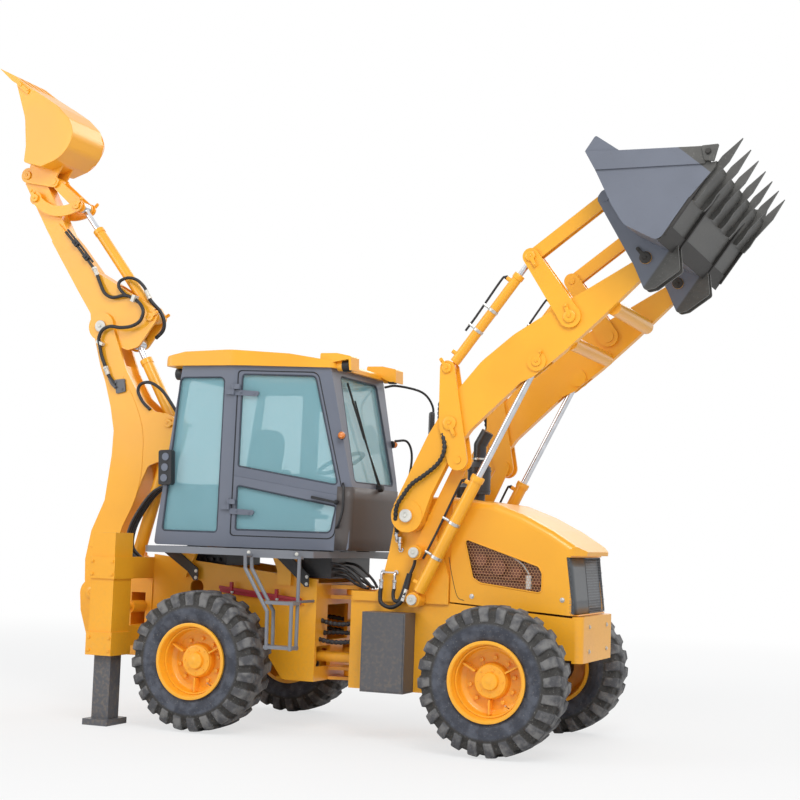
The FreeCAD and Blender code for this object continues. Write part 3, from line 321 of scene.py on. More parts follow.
@dataclass(frozen=True)
class Rubber(Coating):
    """Tyre rubber: bluish sidewall, scuffed paler lugs, grooves painted darker as shade, pale
    flecks all over.
    """
    name: str = "tyre_rubber"
    slot: str = "tyre"

    def draw(self, g: Graph) -> None:
        """Draw the shader from how high a point stands on its lug."""
        lug, tread = g.attribute("lug"), g.attribute("tread")
        scuff, fine = g.noise(14, 8), g.noise(75, 6)
        side = g.blend(scuff.step(0.35, 0.7), linear(60, 63, 72), linear(88, 92, 102))
        top = g.blend(scuff.step(0.38, 0.66), linear(80, 80, 83), linear(122, 121, 120))
        # Painted shade: the grooves between the lugs get a darker, mottled colour.
        groove = g.blend(fine, linear(44, 43, 43), linear(78, 76, 73))
        base = g.blend(tread, side, g.blend(lug.step(0.25, 0.85), groove, top))
        base = g.blend(fine.step(0.6, 0.74) * 0.5, base, linear(142, 140, 136))
        height = fine * 0.6 + scuff * 1.2
        g.surface(Base_Color=base, Roughness=fine * 0.15 + 0.62,
                  Specular_IOR_Level=0.35, Normal=g.bump(height, 0.0022, 0.6))


@dataclass(frozen=True)
class Metal(Coating):
    """Bare or plated metal with fine lines and handling marks."""
    colour: tuple
    rough: float = 0.25
    metallic: float = 1.0
    lines: float = 0.1

    def draw(self, g: Graph) -> None:
        """Draw the shader."""
        mark, fine = g.noise(11, 5), g.noise(320, 2)
        base = g.mottled(mark.step(0.4, 0.75), self.colour, 0.82, 1.0)
        g.surface(Base_Color=base, Metallic=self.metallic,
                  Roughness=mark * 0.12 + (fine * self.lines + (self.rough - 0.06)),
                  Normal=g.bump(fine, 0.0003, 0.3))


@dataclass(frozen=True)
class Moulding(Coating):
    """Moulded plastic, hose cover, foam or trim with a fine grain."""
    colour: tuple
    rough: float = 0.55
    grain: float = 260.0
    depth: float = 0.0005

    def draw(self, g: Graph) -> None:
        """Draw the shader."""
        fine, broad = g.noise(self.grain, 3), g.noise(6, 4)
        base = g.mottled(broad.step(0.35, 0.7), self.colour, 0.85, 1.2)
        base = g.blend(g.noise(45, 6).step(0.6, 0.75) * 0.18, base, linear(*SCUFF))
        g.surface(Base_Color=base, Roughness=broad * 0.15 + (self.rough - 0.07),
                  Normal=g.bump(fine, self.depth, 0.5))


@dataclass(frozen=True)
class Weave(Coating):
    """Seat cloth: crossed threads with a soft sheen."""
    name: str = "seat_cloth"
    slot: str = "seat_fabric"
    colour: tuple = linear(58, 60, 66)

    def draw(self, g: Graph) -> None:
        """Draw the shader."""
        threads = [g.wave(axis, 70.0, 0.6) for axis in ("X", "Y", "Z")]
        height = threads[0] * threads[1] + threads[2] * 0.6
        base = g.mottled(height * 0.5, self.colour, 0.7, 1.3)
        g.surface(Base_Color=base, Roughness=0.85, Sheen_Weight=0.3,
                  Normal=g.bump(height, 0.0012, 0.6))


@dataclass(frozen=True)
class Glass(Coating):
    """Tinted safety glass, seen through, with a clear reflection."""
    name: str = "cab_glass"
    slot: str = "plastic"
    tint: tuple = (0.34, 0.66, 0.74)
    cover: float = 0.38

    def draw(self, g: Graph) -> None:
        """Draw the shader."""
        haze = g.noise(1.3, 3)
        base = g.mottled(haze, self.tint, 0.96, 1.04)
        g.surface(Base_Color=base, Roughness=0.04, Alpha=haze * 0.03 + self.cover,
                  Specular_IOR_Level=0.6)


@dataclass(frozen=True)
class Lens(Coating):
    """Moulded lamp lens with a ribbed face."""
    colour: tuple

    def draw(self, g: Graph) -> None:
        """Draw the shader."""
        ribs = g.wave("Z", 60.0)
        base = g.mottled(ribs, self.colour, 0.8, 1.0)
        g.surface(Base_Color=base, Roughness=0.12, Coat_Weight=0.6,
                  Normal=g.bump(ribs, 0.001, 0.5))


class Finish(Enum):
    """Every finish on the machine."""
    YELLOW = Paint("machine_yellow", "yellow_paint", linear(253, 177, 40), dust=0.1)
    SLATE = Paint("cab_slate", "slate_paint", linear(104, 110, 124), rough=0.42, dust=0.12)
    GREY = Paint("platform_grey", "grey_paint", linear(120, 123, 130), rough=0.45, dust=0.2)
    LEG_GREY = Paint("leg_grey", "grey_paint", linear(86, 87, 92), rough=0.45, dust=0.35)
    BOX_GREY = Paint("box_grey", "dark_paint", linear(86, 86, 90), rough=0.5, dust=0.25)
    # The cab's lower front panel gets a darker brown-grey: painted shade and a painted reflection
    # of the floor, not a paint of its own.
    COWL_SHADED = Paint("cowl_painted_shade", "slate_paint", linear(82, 76, 74), rough=0.55, coat=0.1, dust=0.1)
    MESH = Paint("mesh_tan", "yellow_paint", linear(206, 150, 104), rough=0.45, dust=0.1)
    GRILLE = Paint("grille_grey", "dark_paint", linear(66, 70, 74), rough=0.5, dust=0.05)
    BLACK = Paint("frame_black", "dark_paint", linear(38, 38, 41), rough=0.45, dust=0.15)
    RED = Paint("lock_bar_red", "dark_paint", linear(176, 28, 46), rough=0.35, dust=0.15)
    ENGINE = Paint("engine_paint", "iron", linear(120, 64, 42), rough=0.5, dust=0.3, spread=0.3)
    BUCKET = BucketPaint()
    TYRE = Rubber()
    CHROME = Metal("rod_chrome", "chrome", (0.78, 0.79, 0.82), 0.14, 1.0, 0.05)
    ZINC = Metal("zinc_plate", "steel", (0.74, 0.73, 0.70), 0.34)
    CAP = Metal("pin_cap_white", "steel", linear(226, 224, 216), 0.4, 0.2)
    IRON = Metal("dark_iron", "iron", linear(74, 72, 70), 0.5, 0.6, 0.2)
    HOSE = Moulding("hose_cover", "plastic", linear(36, 36, 39), 0.5, 420)
    PLASTIC = Moulding("black_moulding", "plastic", linear(34, 35, 38), 0.5)
    SEAL = Moulding("window_rubber", "plastic", linear(58, 66, 78), 0.6, 300)
    TRIM = Moulding("cab_trim", "plastic", linear(92, 96, 104), 0.6, 180)
    CLOTH = Weave()
    GLASS = Glass()
    AMBER = Lens("amber_lens", "plastic", linear(232, 130, 30))
    CLEAR = Lens("clear_lens", "plastic", linear(222, 226, 228))


# ---- shapes --------------------------------------------------------------------------------------
@dataclass
class Shape:
    """Points with faces; faces of one corner count share an array."""
    points: np.ndarray
    faces: list

    def __add__(self, other: "Shape") -> "Shape":
        """Both shapes as one."""
        shift = len(self.points)
        return Shape(np.vstack([self.points, other.points]),
                     self.faces + [f + shift for f in other.faces])

    @classmethod
    def empty(cls) -> "Shape":
        """Nothing yet, for other shapes to be added to."""
        return cls(np.zeros((0, 3)), [])

    def moved(self, *by: float) -> "Shape":
        """The shape carried by a step."""
        return Shape(self.points + np.array(by), self.faces)

    def turned(self, degrees: float, axis: str = "y") -> "Shape":
        """The shape turned about an axis through the origin."""
        return Shape(self.points @ rotation(degrees, axis).T, self.faces)

    def flipped(self) -> "Shape":
        """The shape with its faces turned over."""
        return Shape(self.points, [f[:, ::-1] for f in self.faces])

    def mirrored(self) -> "Shape":
        """The shape on the other side of the machine, still facing outward."""
        return Shape(self.points * [1, -1, 1], self.flipped().faces)

    def on(self, side: float) -> "Shape":
        """The shape as drawn, for the right (-1), or mirrored to the left (1)."""
        return self if side < 0 else self.mirrored()

    def twin(self) -> "Shape":
        """The shape and its mirror image."""
        return self + self.mirrored()

    def copies(self, places: np.ndarray, frames: np.ndarray | None = None) -> "Shape":
        """Copies at places, each turned by its 3 x 3 frame; all at once by broadcasting."""
        places = np.atleast_2d(places)
        turned = (np.einsum("kij,nj->kni", frames, self.points) if frames is not None
                  else np.repeat(self.points[None], len(places), 0))
        shift = (np.arange(len(places)) * len(self.points))[:, None, None]
        return Shape((turned + places[:, None]).reshape(-1, 3),
                     [(f[None] + shift).reshape(-1, f.shape[1]) for f in self.faces])


def rotation(degrees: float, axis: str = "y") -> np.ndarray:
    """Rotation matrix about x, y or z by the right-hand rule."""
    c, s = math.cos(math.radians(degrees)), math.sin(math.radians(degrees))
    return {"x": np.array([[1, 0, 0], [0, c, -s], [0, s, c]]),
            "y": np.array([[c, 0, s], [0, 1, 0], [-s, 0, c]]),
            "z": np.array([[c, -s, 0], [s, c, 0], [0, 0, 1]])}[axis]


def basis(direction: np.ndarray) -> np.ndarray:
    """3 x 3 frame whose third column is the unit direction, the others square to it."""
    w = np.asarray(direction, float) / np.linalg.norm(direction)
    u = np.cross([0.0, 1.0, 0.0] if abs(w[1]) < 0.9 else [0.0, 0.0, 1.0], w)
    u /= np.linalg.norm(u)
    return np.column_stack([u, np.cross(w, u), w])


def grid(points: np.ndarray, wrap_u: bool = False, wrap_v: bool = False,
         caps: bool = False) -> Shape:
    """Surface through a grid of points, P(u, v), with quads between neighbours.

    Args:
        points: array of shape (u, v, 3).
        wrap_u: join the last row to the first.
        wrap_v: join the last column to the first.
        caps: close the first and last row of a grid that wraps in v.

    Returns:
        The surface; its normals follow the cross product of +u and +v.
    """
    nu, nv = points.shape[:2]
    i = np.arange(nu if wrap_u else nu - 1)[:, None]
    j = np.arange(nv if wrap_v else nv - 1)[None]
    a, b = i * nv + j, ((i + 1) % nu) * nv + j
    c, d = ((i + 1) % nu) * nv + (j + 1) % nv, i * nv + (j + 1) % nv
    faces = [np.stack([a, b, c, d], -1).reshape(-1, 4)]
    if caps:
        faces += [np.arange(nv)[None], ((nu - 1) * nv + np.arange(nv))[None, ::-1]]
    return Shape(points.reshape(-1, 3), faces)


def length_along(path: np.ndarray) -> np.ndarray:
    """Distance along a path from its start to each of its points."""
    return np.r_[0, np.cumsum(np.linalg.norm(np.diff(path, axis=0), axis=1))]


def smooth(points: list, per: int = 8) -> np.ndarray:
    """Curve through points: cubic pieces whose slopes join each point's neighbours."""
    p = np.asarray(points, float)
    p = np.vstack([2 * p[0] - p[1], p, 2 * p[-1] - p[-2]])
    t = np.linspace(0, 1, per, endpoint=False)[None, :, None]
    a, b, c, d = (q[:, None] for q in (p[:-3], p[1:-2], p[2:-1], p[3:]))
    curve = 0.5 * (2 * b + (c - a) * t + (2 * a - 5 * b + 4 * c - d) * t ** 2
                   + (3 * b - a - 3 * c + d) * t ** 3)
    return np.vstack([curve.reshape(-1, 3), p[-2]])


def tube(path: np.ndarray, radius: float | np.ndarray, sides: int = 12) -> Shape:
    """Circle carried along a path.

    The circle at each station lies square to the path. Its axes are the cross products of the
    tangent with the direction that the path's tangents use least.
    """
    path = np.asarray(path, float)
    tangent = np.gradient(path, axis=0)
    tangent /= np.linalg.norm(tangent, axis=1)[:, None]
    least = np.linalg.svd(tangent)[2][-1]
    u = np.cross(least, tangent)
    u /= np.linalg.norm(u, axis=1)[:, None]
    v = np.cross(tangent, u)
    angle = np.arange(sides) * 2 * np.pi / sides
    r = np.broadcast_to(radius, len(path))[:, None, None]
    ring = u[:, None] * np.cos(angle)[:, None] + v[:, None] * np.sin(angle)[:, None]
    return grid(path[:, None] + r * ring, wrap_v=True, caps=True).flipped()


def pipe(points: list, radius: float, sides: int = 10, per: int = 6) -> Shape:
    """Tube along a smooth curve through points."""
    return tube(smooth(points, per), radius, sides)


def rope(path: np.ndarray, radius: float, sides: int = 8) -> Shape:
    """Tube along a closed path, laid over its own first two points."""
    return tube(np.vstack([path, path[:2]]), radius, sides)


def at_y(y: float, *places: tuple) -> list:
    """Points (x, y, z) from places (x, z) at one distance across the machine."""
    return [(x, y, z) for x, z in places]


def hose(points: list, radius: float, ribs: bool = False, per: int = 8) -> Shape:
    """Hose through points, with rings along it if ribbed."""
    path = smooth(points, per * (4 if ribs else 1))
    if ribs:
        radius = radius * (1 + 0.12 * np.sign(np.sin(length_along(path)
                                                     / (radius * 1.1) * np.pi)))
    return tube(path, radius)


def ferrule(start: np.ndarray, toward: np.ndarray, radius: float, length: float) -> Shape:
    """Crimped hose end with a hexagon nut, from start toward a point."""
    start, toward = np.asarray(start, float), np.asarray(toward, float)
    d = (toward - start) / np.linalg.norm(toward - start)
    s = np.array([0, .05, .06, .3, .31, .6, .62, 1.0]) * length
    r = radius * np.array([1.0, 1.25, 1.32, 1.32, 1.2, 1.2, 1.32, 1.25])
    body = tube(start + s[:, None] * d, r, 14)
    nut = tube(start - np.array([[0.0], [0.35]]) * length * d, radius * 1.55, 6)
    return body + nut


def lathe(profile: list, origin: tuple, axis: tuple = LEFT, count: int = 40,
          ring: bool = False) -> Shape:
    """Profile of (distance along axis, radius) turned about an axis through origin.

    Args:
        profile: the points turned.
        origin: a point on the axis; distances are measured from it.
        axis: the axis's direction.
        count: steps round the axis.
        ring: join the profile's ends, for a ring open at its middle.

    Returns:
        The solid of revolution.
    """
    prof = np.asarray(profile, float)
    f = basis(axis)
    angle = np.arange(count) * 2 * np.pi / count
    spokes = np.cos(angle)[:, None] * f[:, 0] + np.sin(angle)[:, None] * f[:, 1]
    pts = (np.asarray(origin) + prof[:, None, :1] * f[:, 2] + prof[:, None, 1:] * spokes[None])
    return grid(pts, wrap_u=ring, wrap_v=True, caps=not ring).flipped()


def band(start: float, end: float, inner: float, outer: float, origin: tuple, axis: tuple,
         count: int = 28) -> Shape:
    """Plain ring from start to end along an axis."""
    return lathe([(start, inner), (start, outer), (end, outer), (end, inner)], origin, axis,
                 count, True)


def rounded(outline: list, steps: int = 6) -> np.ndarray:
    """Closed outline of (a, b[, corner radius]) with arcs at its corners, as (n, 2) points."""
    out, n = [], len(outline)
    for i, corner in enumerate(outline):
        p = np.array(corner[:2], float)
        if len(corner) < 3 or not corner[2]:
            out.append(p[None])
            continue
        a = np.array(outline[i - 1][:2]) - p
        b = np.array(outline[(i + 1) % n][:2]) - p
        a, b = a / np.linalg.norm(a), b / np.linalg.norm(b)
        half = math.acos(np.clip(a @ b, -1, 1)) / 2
        mid = (a + b) / np.linalg.norm(a + b)
        centre = p + mid * corner[2] / math.sin(half)
        s = p + a * corner[2] / math.tan(half) - centre
        e = p + b * corner[2] / math.tan(half) - centre
        t = np.linspace(0, 1, steps + 1)[:, None]
        total = math.acos(np.clip(s @ e / corner[2] ** 2, -1, 1))
        out.append(centre + (np.sin((1 - t) * total) * s + np.sin(t * total) * e)
                   / math.sin(total))
    return np.vstack(out)


def prism(outline: np.ndarray, lift: Sheet) -> Shape:
    """Closed outline (a, b) between two sheets; lift(a, b, side) gives points for side 0 and 1."""
    o = np.asarray(outline, float)[:, :2]
    area = np.sum(o[:, 0] * np.roll(o[:, 1], -1) - np.roll(o[:, 0], -1) * o[:, 1])
    o = o if area > 0 else o[::-1]
    low, high = lift(o[:, 0], o[:, 1], 0), lift(o[:, 0], o[:, 1], 1)
    shape = grid(np.stack([low, high]), wrap_v=True, caps=True)
    probe = np.cross(low[1] - low[0], high[0] - low[0]) @ (low[0] - low.mean(0))
    return shape if probe < 0 else shape.flipped()


def window_frame(outer: list, inner: list, wall: Wall, depths: tuple) -> Shape:
    """Flat frame between two outlines, mapped to a wall at two depths.

    Both outlines are cut by the same rays from the inner one's middle. A ray of direction d meets
    the edge p + s e at r = (p x e) / (d x e), where s = (p x d) / (d x e) lies from 0 to 1.

    Args:
        outer: outer outline as (a, b[, corner radius]).
        inner: outline of the window.
        wall: wall(depth) maps (a, b) to points in space.
        depths: depth of the outer and of the inner face.

    Returns:
        The frame, closed all round.
    """
    loops = [rounded(outer), rounded(inner)]
    mid = loops[1].mean(0)
    angle = np.unique(np.round(np.concatenate(
        [np.arctan2(*(o - mid).T[::-1]) for o in loops]), 5))
    d = np.column_stack([np.cos(angle), np.sin(angle)])[:, None]
    cut = []
    for o in loops:
        p = (o - mid)[None]
        e = np.roll(p, -1, 1) - p
        across = lambda m, n: m[..., 0] * n[..., 1] - m[..., 1] * n[..., 0]
        turn = across(d, e)
        turn = np.where(np.abs(turn) < 1e-12, 1e-12, turn)
        s, r = across(p, d) / turn, across(p, e) / turn
        r = np.where((s > -1e-3) & (s < 1.001) & (r > 0), r, np.inf).min(1)
        cut.append(mid + d[:, 0] * r[:, None])
    rows = [wall(depths[k])(*cut[c].T) for c, k in ((0, 0), (0, 1), (1, 1), (1, 0))]
    return grid(np.stack(rows), wrap_u=True, wrap_v=True)


def plate(outline: list, y0: float, y1: float) -> Shape:
    """Side-view outline (x, z[, corner radius]) as a plate between two Y planes."""
    return prism(rounded(outline),
                 lambda a, b, s: np.column_stack([a, np.full(len(a), (y0, y1)[s]), b]))


def slab(outline: list, z0: float, z1: float) -> Shape:
    """Top-view outline (x, y[, corner radius]) as a slab between two heights."""
    return prism(rounded(outline),
                 lambda a, b, s: np.column_stack([a, b, np.full(len(a), (z0, z1)[s])]))


def block(x0: float, x1: float, y0: float, y1: float, z0: float, z1: float) -> Shape:
    """Upright block between opposite corners."""
    return plate([(x0, z0), (x1, z0), (x1, z1), (x0, z1)], y0, y1)


def bolt(size: float = 0.018, head: float = 0.6) -> Shape:
    """Hexagon bolt head on a washer, standing along +Z from the origin."""
    washer = lathe([(0, size * 1.15), (size * 0.15, size * 1.15), (size * 0.16, size * 0.9)],
                   (0, 0, 0), UP, 16)
    top = lathe([(size * 0.15, size * 0.86), (size * head, size * 0.86),
                 (size * (head + 0.1), size * 0.7)], (0, 0, 0), UP, 6)
    return washer + top


def bolts(places: list, direction: tuple, size: float = 0.018, head: float = 0.6) -> Shape:
    """Bolt heads at places, all facing one direction."""
    places = np.atleast_2d(np.asarray(places, float))
    return bolt(size, head).copies(places, np.repeat(basis(direction)[None], len(places), 0))


def circle(count: int, radius: float, start: float = 0.0) -> np.ndarray:
    """Points spaced evenly on a circle about the Y axis, the first at the angle start."""
    angle = np.arange(count) * 2 * np.pi / count + start
    return np.column_stack([radius * np.cos(angle), 0 * angle, radius * np.sin(angle)])


def in_scene(name: str, data: bpy.types.ID, axes: np.ndarray | None = None,
             origin: tuple = (0, 0, 0)) -> bpy.types.Object:
    """New object in the scene; its axes are the columns of a 3 x 3 matrix, if one is given."""
    obj = bpy.data.objects.new(name, data)
    if axes is not None:
        matrix = np.eye(4)
        matrix[:3, :3], matrix[:3, 3] = axes, origin
        obj.matrix_world = Matrix(matrix.tolist())
    bpy.context.scene.collection.objects.link(obj)
    return obj


def thicken(obj: bpy.types.Object, thickness: float, offset: float = 0.0) -> None:
    """Give a sheet its thickness, on both sides, or inward with an offset of -1."""
    mod = obj.modifiers.new("thick", "SOLIDIFY")
    mod.thickness, mod.offset = thickness, offset


# ---- assemblies ----------------------------------------------------------------------------------
def node_box(name: str) -> tuple[np.ndarray, np.ndarray]:
    """Corners of a CAD node, measured from the middle of the wheelbase."""
    low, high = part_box(name)
    return np.array(low) - ORIGIN, np.array(high) - ORIGIN


def pivots() -> dict[str, np.ndarray]:
    """Centre of every joint by the joint's name, from the middle of the wheelbase."""
    return {joint["name"]: np.array(joint["pos_m"], float) - ORIGIN
            for joint in frame["joints"] if "pos_m" in joint}


PIVOT = pivots()


class Assembly:
    """A group of pieces that are built and dressed together."""

    title = "assembly"

    def piece(self, name: str, shape: Shape, body: str, finish: Finish, bevel: float = 0.0,
              smooth_angle: float = 35.0, segments: int = 2,
              bend: tuple | None = None) -> bpy.types.Object:
        """Make one finished piece and let it ride on its body.

        Args:
            name: the piece's plain name.
            shape: its points and faces, from the middle of the wheelbase.
            body: the moving body that carries it.
            finish: its finish.
            bevel: width of the rounding on its edges, 0 for none.
            smooth_angle: edges sharper than this stay crisp.
            segments: steps of the rounding.
            bend: for a hose that crosses a joint, (second body, start point, end point); if given,
                the piece stays where it is drawn on no body, and its second body and points are not
                used.

        Returns:
            The object.
        """
        mesh = bpy.data.meshes.new(name)
        rows = [row for faces in shape.faces for row in faces.tolist()]
        mesh.from_pydata((shape.points + ORIGIN).tolist(), [], rows)
        mesh.validate()
        mesh.polygons.foreach_set("use_smooth", np.ones(len(mesh.polygons), bool))
        mesh.set_sharp_from_angle(angle=math.radians(smooth_angle))
        mesh.materials.append(finish.value.material())
        obj = in_scene(name, mesh)
        if bevel:
            mod = obj.modifiers.new("edge", "BEVEL")
            mod.width, mod.segments, mod.limit_method = bevel, segments, "ANGLE"
            mod.angle_limit, mod.harden_normals = math.radians(40), True
        if bend is None:
            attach(obj, body)
        else:
            tuple(np.array(bend[1]) + ORIGIN)
            tuple(np.array(bend[2]) + ORIGIN)
            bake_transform(obj)
        LOG.info("%s: %s, %d faces on %s", self.title, name, len(rows), body)
        return obj

    def build(self) -> None:
        """Make every piece of the assembly."""
        raise NotImplementedError


NODE_FINISH = {
    Finish.YELLOW: """rim_front_right rim_front_left rim_rear_right rim_rear_left front_frame
        front_bumper hood lift_arms lift_barrels bellcranks crank_pins lower_links tilt_barrels
        lever_shafts upper_levers lever_pins bucket_links bucket_pins rear_frame cab_roof
        backhoe_frame kingpost boom boom_barrel dipper dipper_barrel digger_barrel digger_lever
        digger_link digger_bucket steer_barrel_right steer_barrel_left""",
    Finish.SLATE: "cab_shell door_right door_left",
    Finish.GREY: "side_platforms",
    Finish.LEG_GREY: "stabilizer_leg_right stabilizer_leg_left",
    Finish.BOX_GREY: "side_boxes",
    Finish.BLACK: "battery_box exhaust_stack hood_grilles",
    Finish.ENGINE: "engine_block",
    Finish.BUCKET: "loader_bucket",
    Finish.TYRE: "tyre_front_right tyre_front_left tyre_rear_right tyre_rear_left",
    Finish.CHROME: """lift_rods tilt_rods boom_rod dipper_rod digger_rod steer_rod_right
        steer_rod_left""",
    Finish.IRON: "axle_front axle_rear",
    Finish.TRIM: "cab_console",
    Finish.CLOTH: "seat",
}


class Frame(Assembly):
    """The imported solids, each with its own finish."""

    title = "frame"

    def build(self) -> None:
        """Give every CAD node its finish."""
        for finish, names in NODE_FINISH.items():
            for name in names.split():
                slots = frame["nodes"][name].data.materials
                slots.clear()
                slots.append(finish.value.material())
                LOG.info("frame: %s in %s", name, finish.name)


@dataclass
class Wheel(Assembly):
    """A lugged tyre over its solid, and the fasteners of its rim and hub."""

    end: str
    hand: str
    lugs: int = 24
    groove: float = 0.025
    around: int = 576
    lug_end: float = 0.284
    lug_half: float = 0.046
    lug_edge: float = 0.012
    tread_end: float = 0.296
    ridge_at: float = 0.335
    relief: float = 0.003
    nut_circle: float = 0.168
    screw_circle: float = 0.095
    title: str = "wheel"

    def tyre(self, centre: np.ndarray) -> None:
        """Tyre as one surface of revolution whose radius and flank rise on each lug.

        Profile: bead, sidewall bulge and crown as a smooth curve r(v), y(v). A lug's middle runs
        across the tread as a curve of angle against width; its height is 1 within half its width
        of that curve and falls to 0 over one edge width. Left and right rows are half a pitch
        apart and meet in a rib over the crown. The whole shell lies a relief under the profile,
        apart from a thin ridge round the sidewall.
        """
        knots = np.array([(-0.155, 0.272), (-0.168, 0.292), (-0.186, 0.335), (-0.195, 0.385),
                          (-0.195, 0.430), (-0.1915, 0.462), (-0.186, 0.490), (-0.174, 0.514),
                          (-0.156, 0.529), (-0.120, 0.5345), (-0.060, 0.5365), (0.0, 0.5372)])
        knots = np.vstack([knots, knots[-2::-1] * [-1, 1]])
        prof = smooth(np.column_stack([knots, np.zeros(len(knots))]), 5)[:, :2]
        run = length_along(prof)
        width = run - run[-1] / 2
        normal = np.gradient(prof, axis=0)[:, ::-1] * [-1, 1]
        normal /= np.linalg.norm(normal, axis=1)[:, None]
        angle = np.arange(self.around) * 2 * np.pi / self.around
        a, w = angle[:, None], width[None]
        pitch = 2 * np.pi / self.lugs
        half = np.abs(w)
        lean = 0.055 * np.sin(np.clip(half / 0.26, 0, 1) * np.pi * 0.9) + 0.03 * half / 0.2
        middle = np.where(w < 0, 0.0, 0.5) * pitch + lean
        off = (a - middle + pitch / 2) % pitch - pitch / 2
        reach = np.clip((self.lug_end - half) / 0.016, 0, 1)
        body = self.lug_half + 0.010 * np.exp(-(half / 0.06) ** 2)
        lug = np.clip((body - np.abs(off) * 0.53) / self.lug_edge, 0, 1) * reach
        notch = np.clip((np.abs(half - 0.120) - 0.004) / 0.005, 0.35, 1)
        crown = np.clip((0.028 - half) / 0.010, 0, 1)
        lug = np.maximum(lug * notch, crown * 0.9)
        depth = np.clip((self.tread_end - half) / 0.05, 0, 1) * self.groove
        shell = prof[None] - normal[None] * (depth * (1 - lug))[..., None]
        ridge = np.exp(-((half - self.ridge_at) / 0.004) ** 2) * self.relief
        shell = shell - normal[None] * (self.relief - ridge)[..., None]
        y, r = shell[..., 0], shell[..., 1]
        pts = np.stack([centre[0] + r * np.cos(a), centre[1] + y, centre[2] + r * np.sin(a)], -1)
        shape = grid(pts, wrap_u=True).flipped()
        tag = f"{self.end}_{self.hand}"
        obj = self.piece(f"tyre_{tag}_lugged", shape, "wheel_" + tag, Finish.TYRE,
                         smooth_angle=60)
        tread = np.clip((0.306 - half) / 0.02, 0, 1) + 0 * a
        for name, values in (("lug", lug), ("tread", tread)):
            layer = obj.data.attributes.new(name, "FLOAT", "POINT")
            layer.data.foreach_set("value", values.astype(np.float32).ravel())
        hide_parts("tyre_" + tag)

    def build(self) -> None:
        """Tyre, lock ring, wheel nuts, planetary cover and valve."""
        tag = f"{self.end}_{self.hand}"
        body, (low, high) = "wheel_" + tag, node_box("tyre_" + tag)
        centre, side = (low + high) / 2, (-1.0 if self.hand == "right" else 1.0)
        self.tyre(centre)
        out = (0.0, side, 0.0)
        at = lambda y: centre + [0, side * y, 0]
        ring = lathe([(0.160, 0.279), (0.178, 0.2895), (0.1905, 0.2895), (0.1925, 0.283),
                      (0.1905, 0.268), (0.170, 0.262), (0.150, 0.262)], centre, out, 72, True)
        ring += lathe([(0.120, 0.252), (0.128, 0.250), (0.128, 0.241), (0.120, 0.238)],
                      centre, out, 72, True)
        self.piece("rim_ring_" + tag, ring, body, Finish.YELLOW, smooth_angle=40)
        studs = bolts(at(0.021) + circle(10, self.nut_circle, 0.2), out, 0.019, 1.2)
        cover = lathe([(0.074, 0.118), (0.086, 0.116), (0.088, 0.108), (0.088, 0.062)], centre,
                      out, 48)
        cover += lathe([(0.108, 0.060), (0.1125, 0.056), (0.1125, 0.020), (0.1135, 0.018),
                        (0.1135, 0.0005)], centre, out, 36)
        cover += studs + bolts(at(0.087) + circle(8, self.screw_circle), out, 0.008, 0.7)
        cover += bolts([at(0.087) + [0.02, 0, 0.078]], out, 0.012, 0.6)
        gusset = block(-0.006, 0.006, 0, side * 0.09, 0.130, 0.236)
        frames = np.stack([rotation(d) for d in (60, 180, 300)])
        cover += gusset.copies(np.repeat([at(0.010)], 3, 0), frames)
        self.piece("hub_hardware_" + tag, cover, body, Finish.YELLOW, 0.002)
        valve = at(0.0) + rotation(140) @ [0.0, 0.0, 0.235]
        stem = pipe([valve + [0, side * 0.06, 0], valve + [0, side * 0.10, 0],
                     valve + [0, side * 0.135, 0] - (valve - at(0)) * 0.12], 0.006, 10, 8)
        self.piece("valve_stem_" + tag, stem, body, Finish.ZINC)


def side_point(joint: str, y: float) -> np.ndarray:
    """Centre of a joint's pin at a distance y across the machine."""
    p = PIVOT[joint]
    return np.array([p[0], y, p[2]])


@dataclass
class PinEnd:
    """Visible end of a pivot pin: a turned cap, its bolt and, if asked, a bolted keeper."""

    radius: float = 0.046
    thick: float = 0.012
    keeper: float | None = None

    def shape(self, at: np.ndarray, side: float) -> Shape:
        """Cap on the outboard face at a point; side is -1 for right and 1 for left.

        The cap is a disc with a chamfer, turned about the pin. The keeper is a short plate that
        leans by its angle from the cap, with a bolt near its end.
        """
        out, r, t = (0.0, side, 0.0), self.radius, self.thick
        cap = lathe([(-0.002, r), (t * 0.7, r), (t, r * 0.9), (t, r * 0.45), (t * 0.8, r * 0.42),
                     (t * 0.8, r * 0.2)], at, out, 32)
        cap += bolts([at + [0, side * t * 0.8, 0]], out, r * 0.26, 0.7)
        if self.keeper is not None:
            turn = rotation(self.keeper)
            bar = plate([(-0.014, 0, 0.006), (0.014, 0, 0.006), (0.014, r + 0.055, 0.012),
                         (-0.014, r + 0.055, 0.012)], 0.0, 0.008)
            bar = Shape(bar.points @ turn.T * [1, side, 1] + at + [0, side * t * 0.3, 0],
                        (bar if side > 0 else bar.flipped()).faces)
            head = at + turn @ np.array([0, 0, r + 0.036]) + [0, side * (0.008 + t * 0.3), 0]
            cap += bar + bolts([head], out, 0.011, 0.7)
        return cap


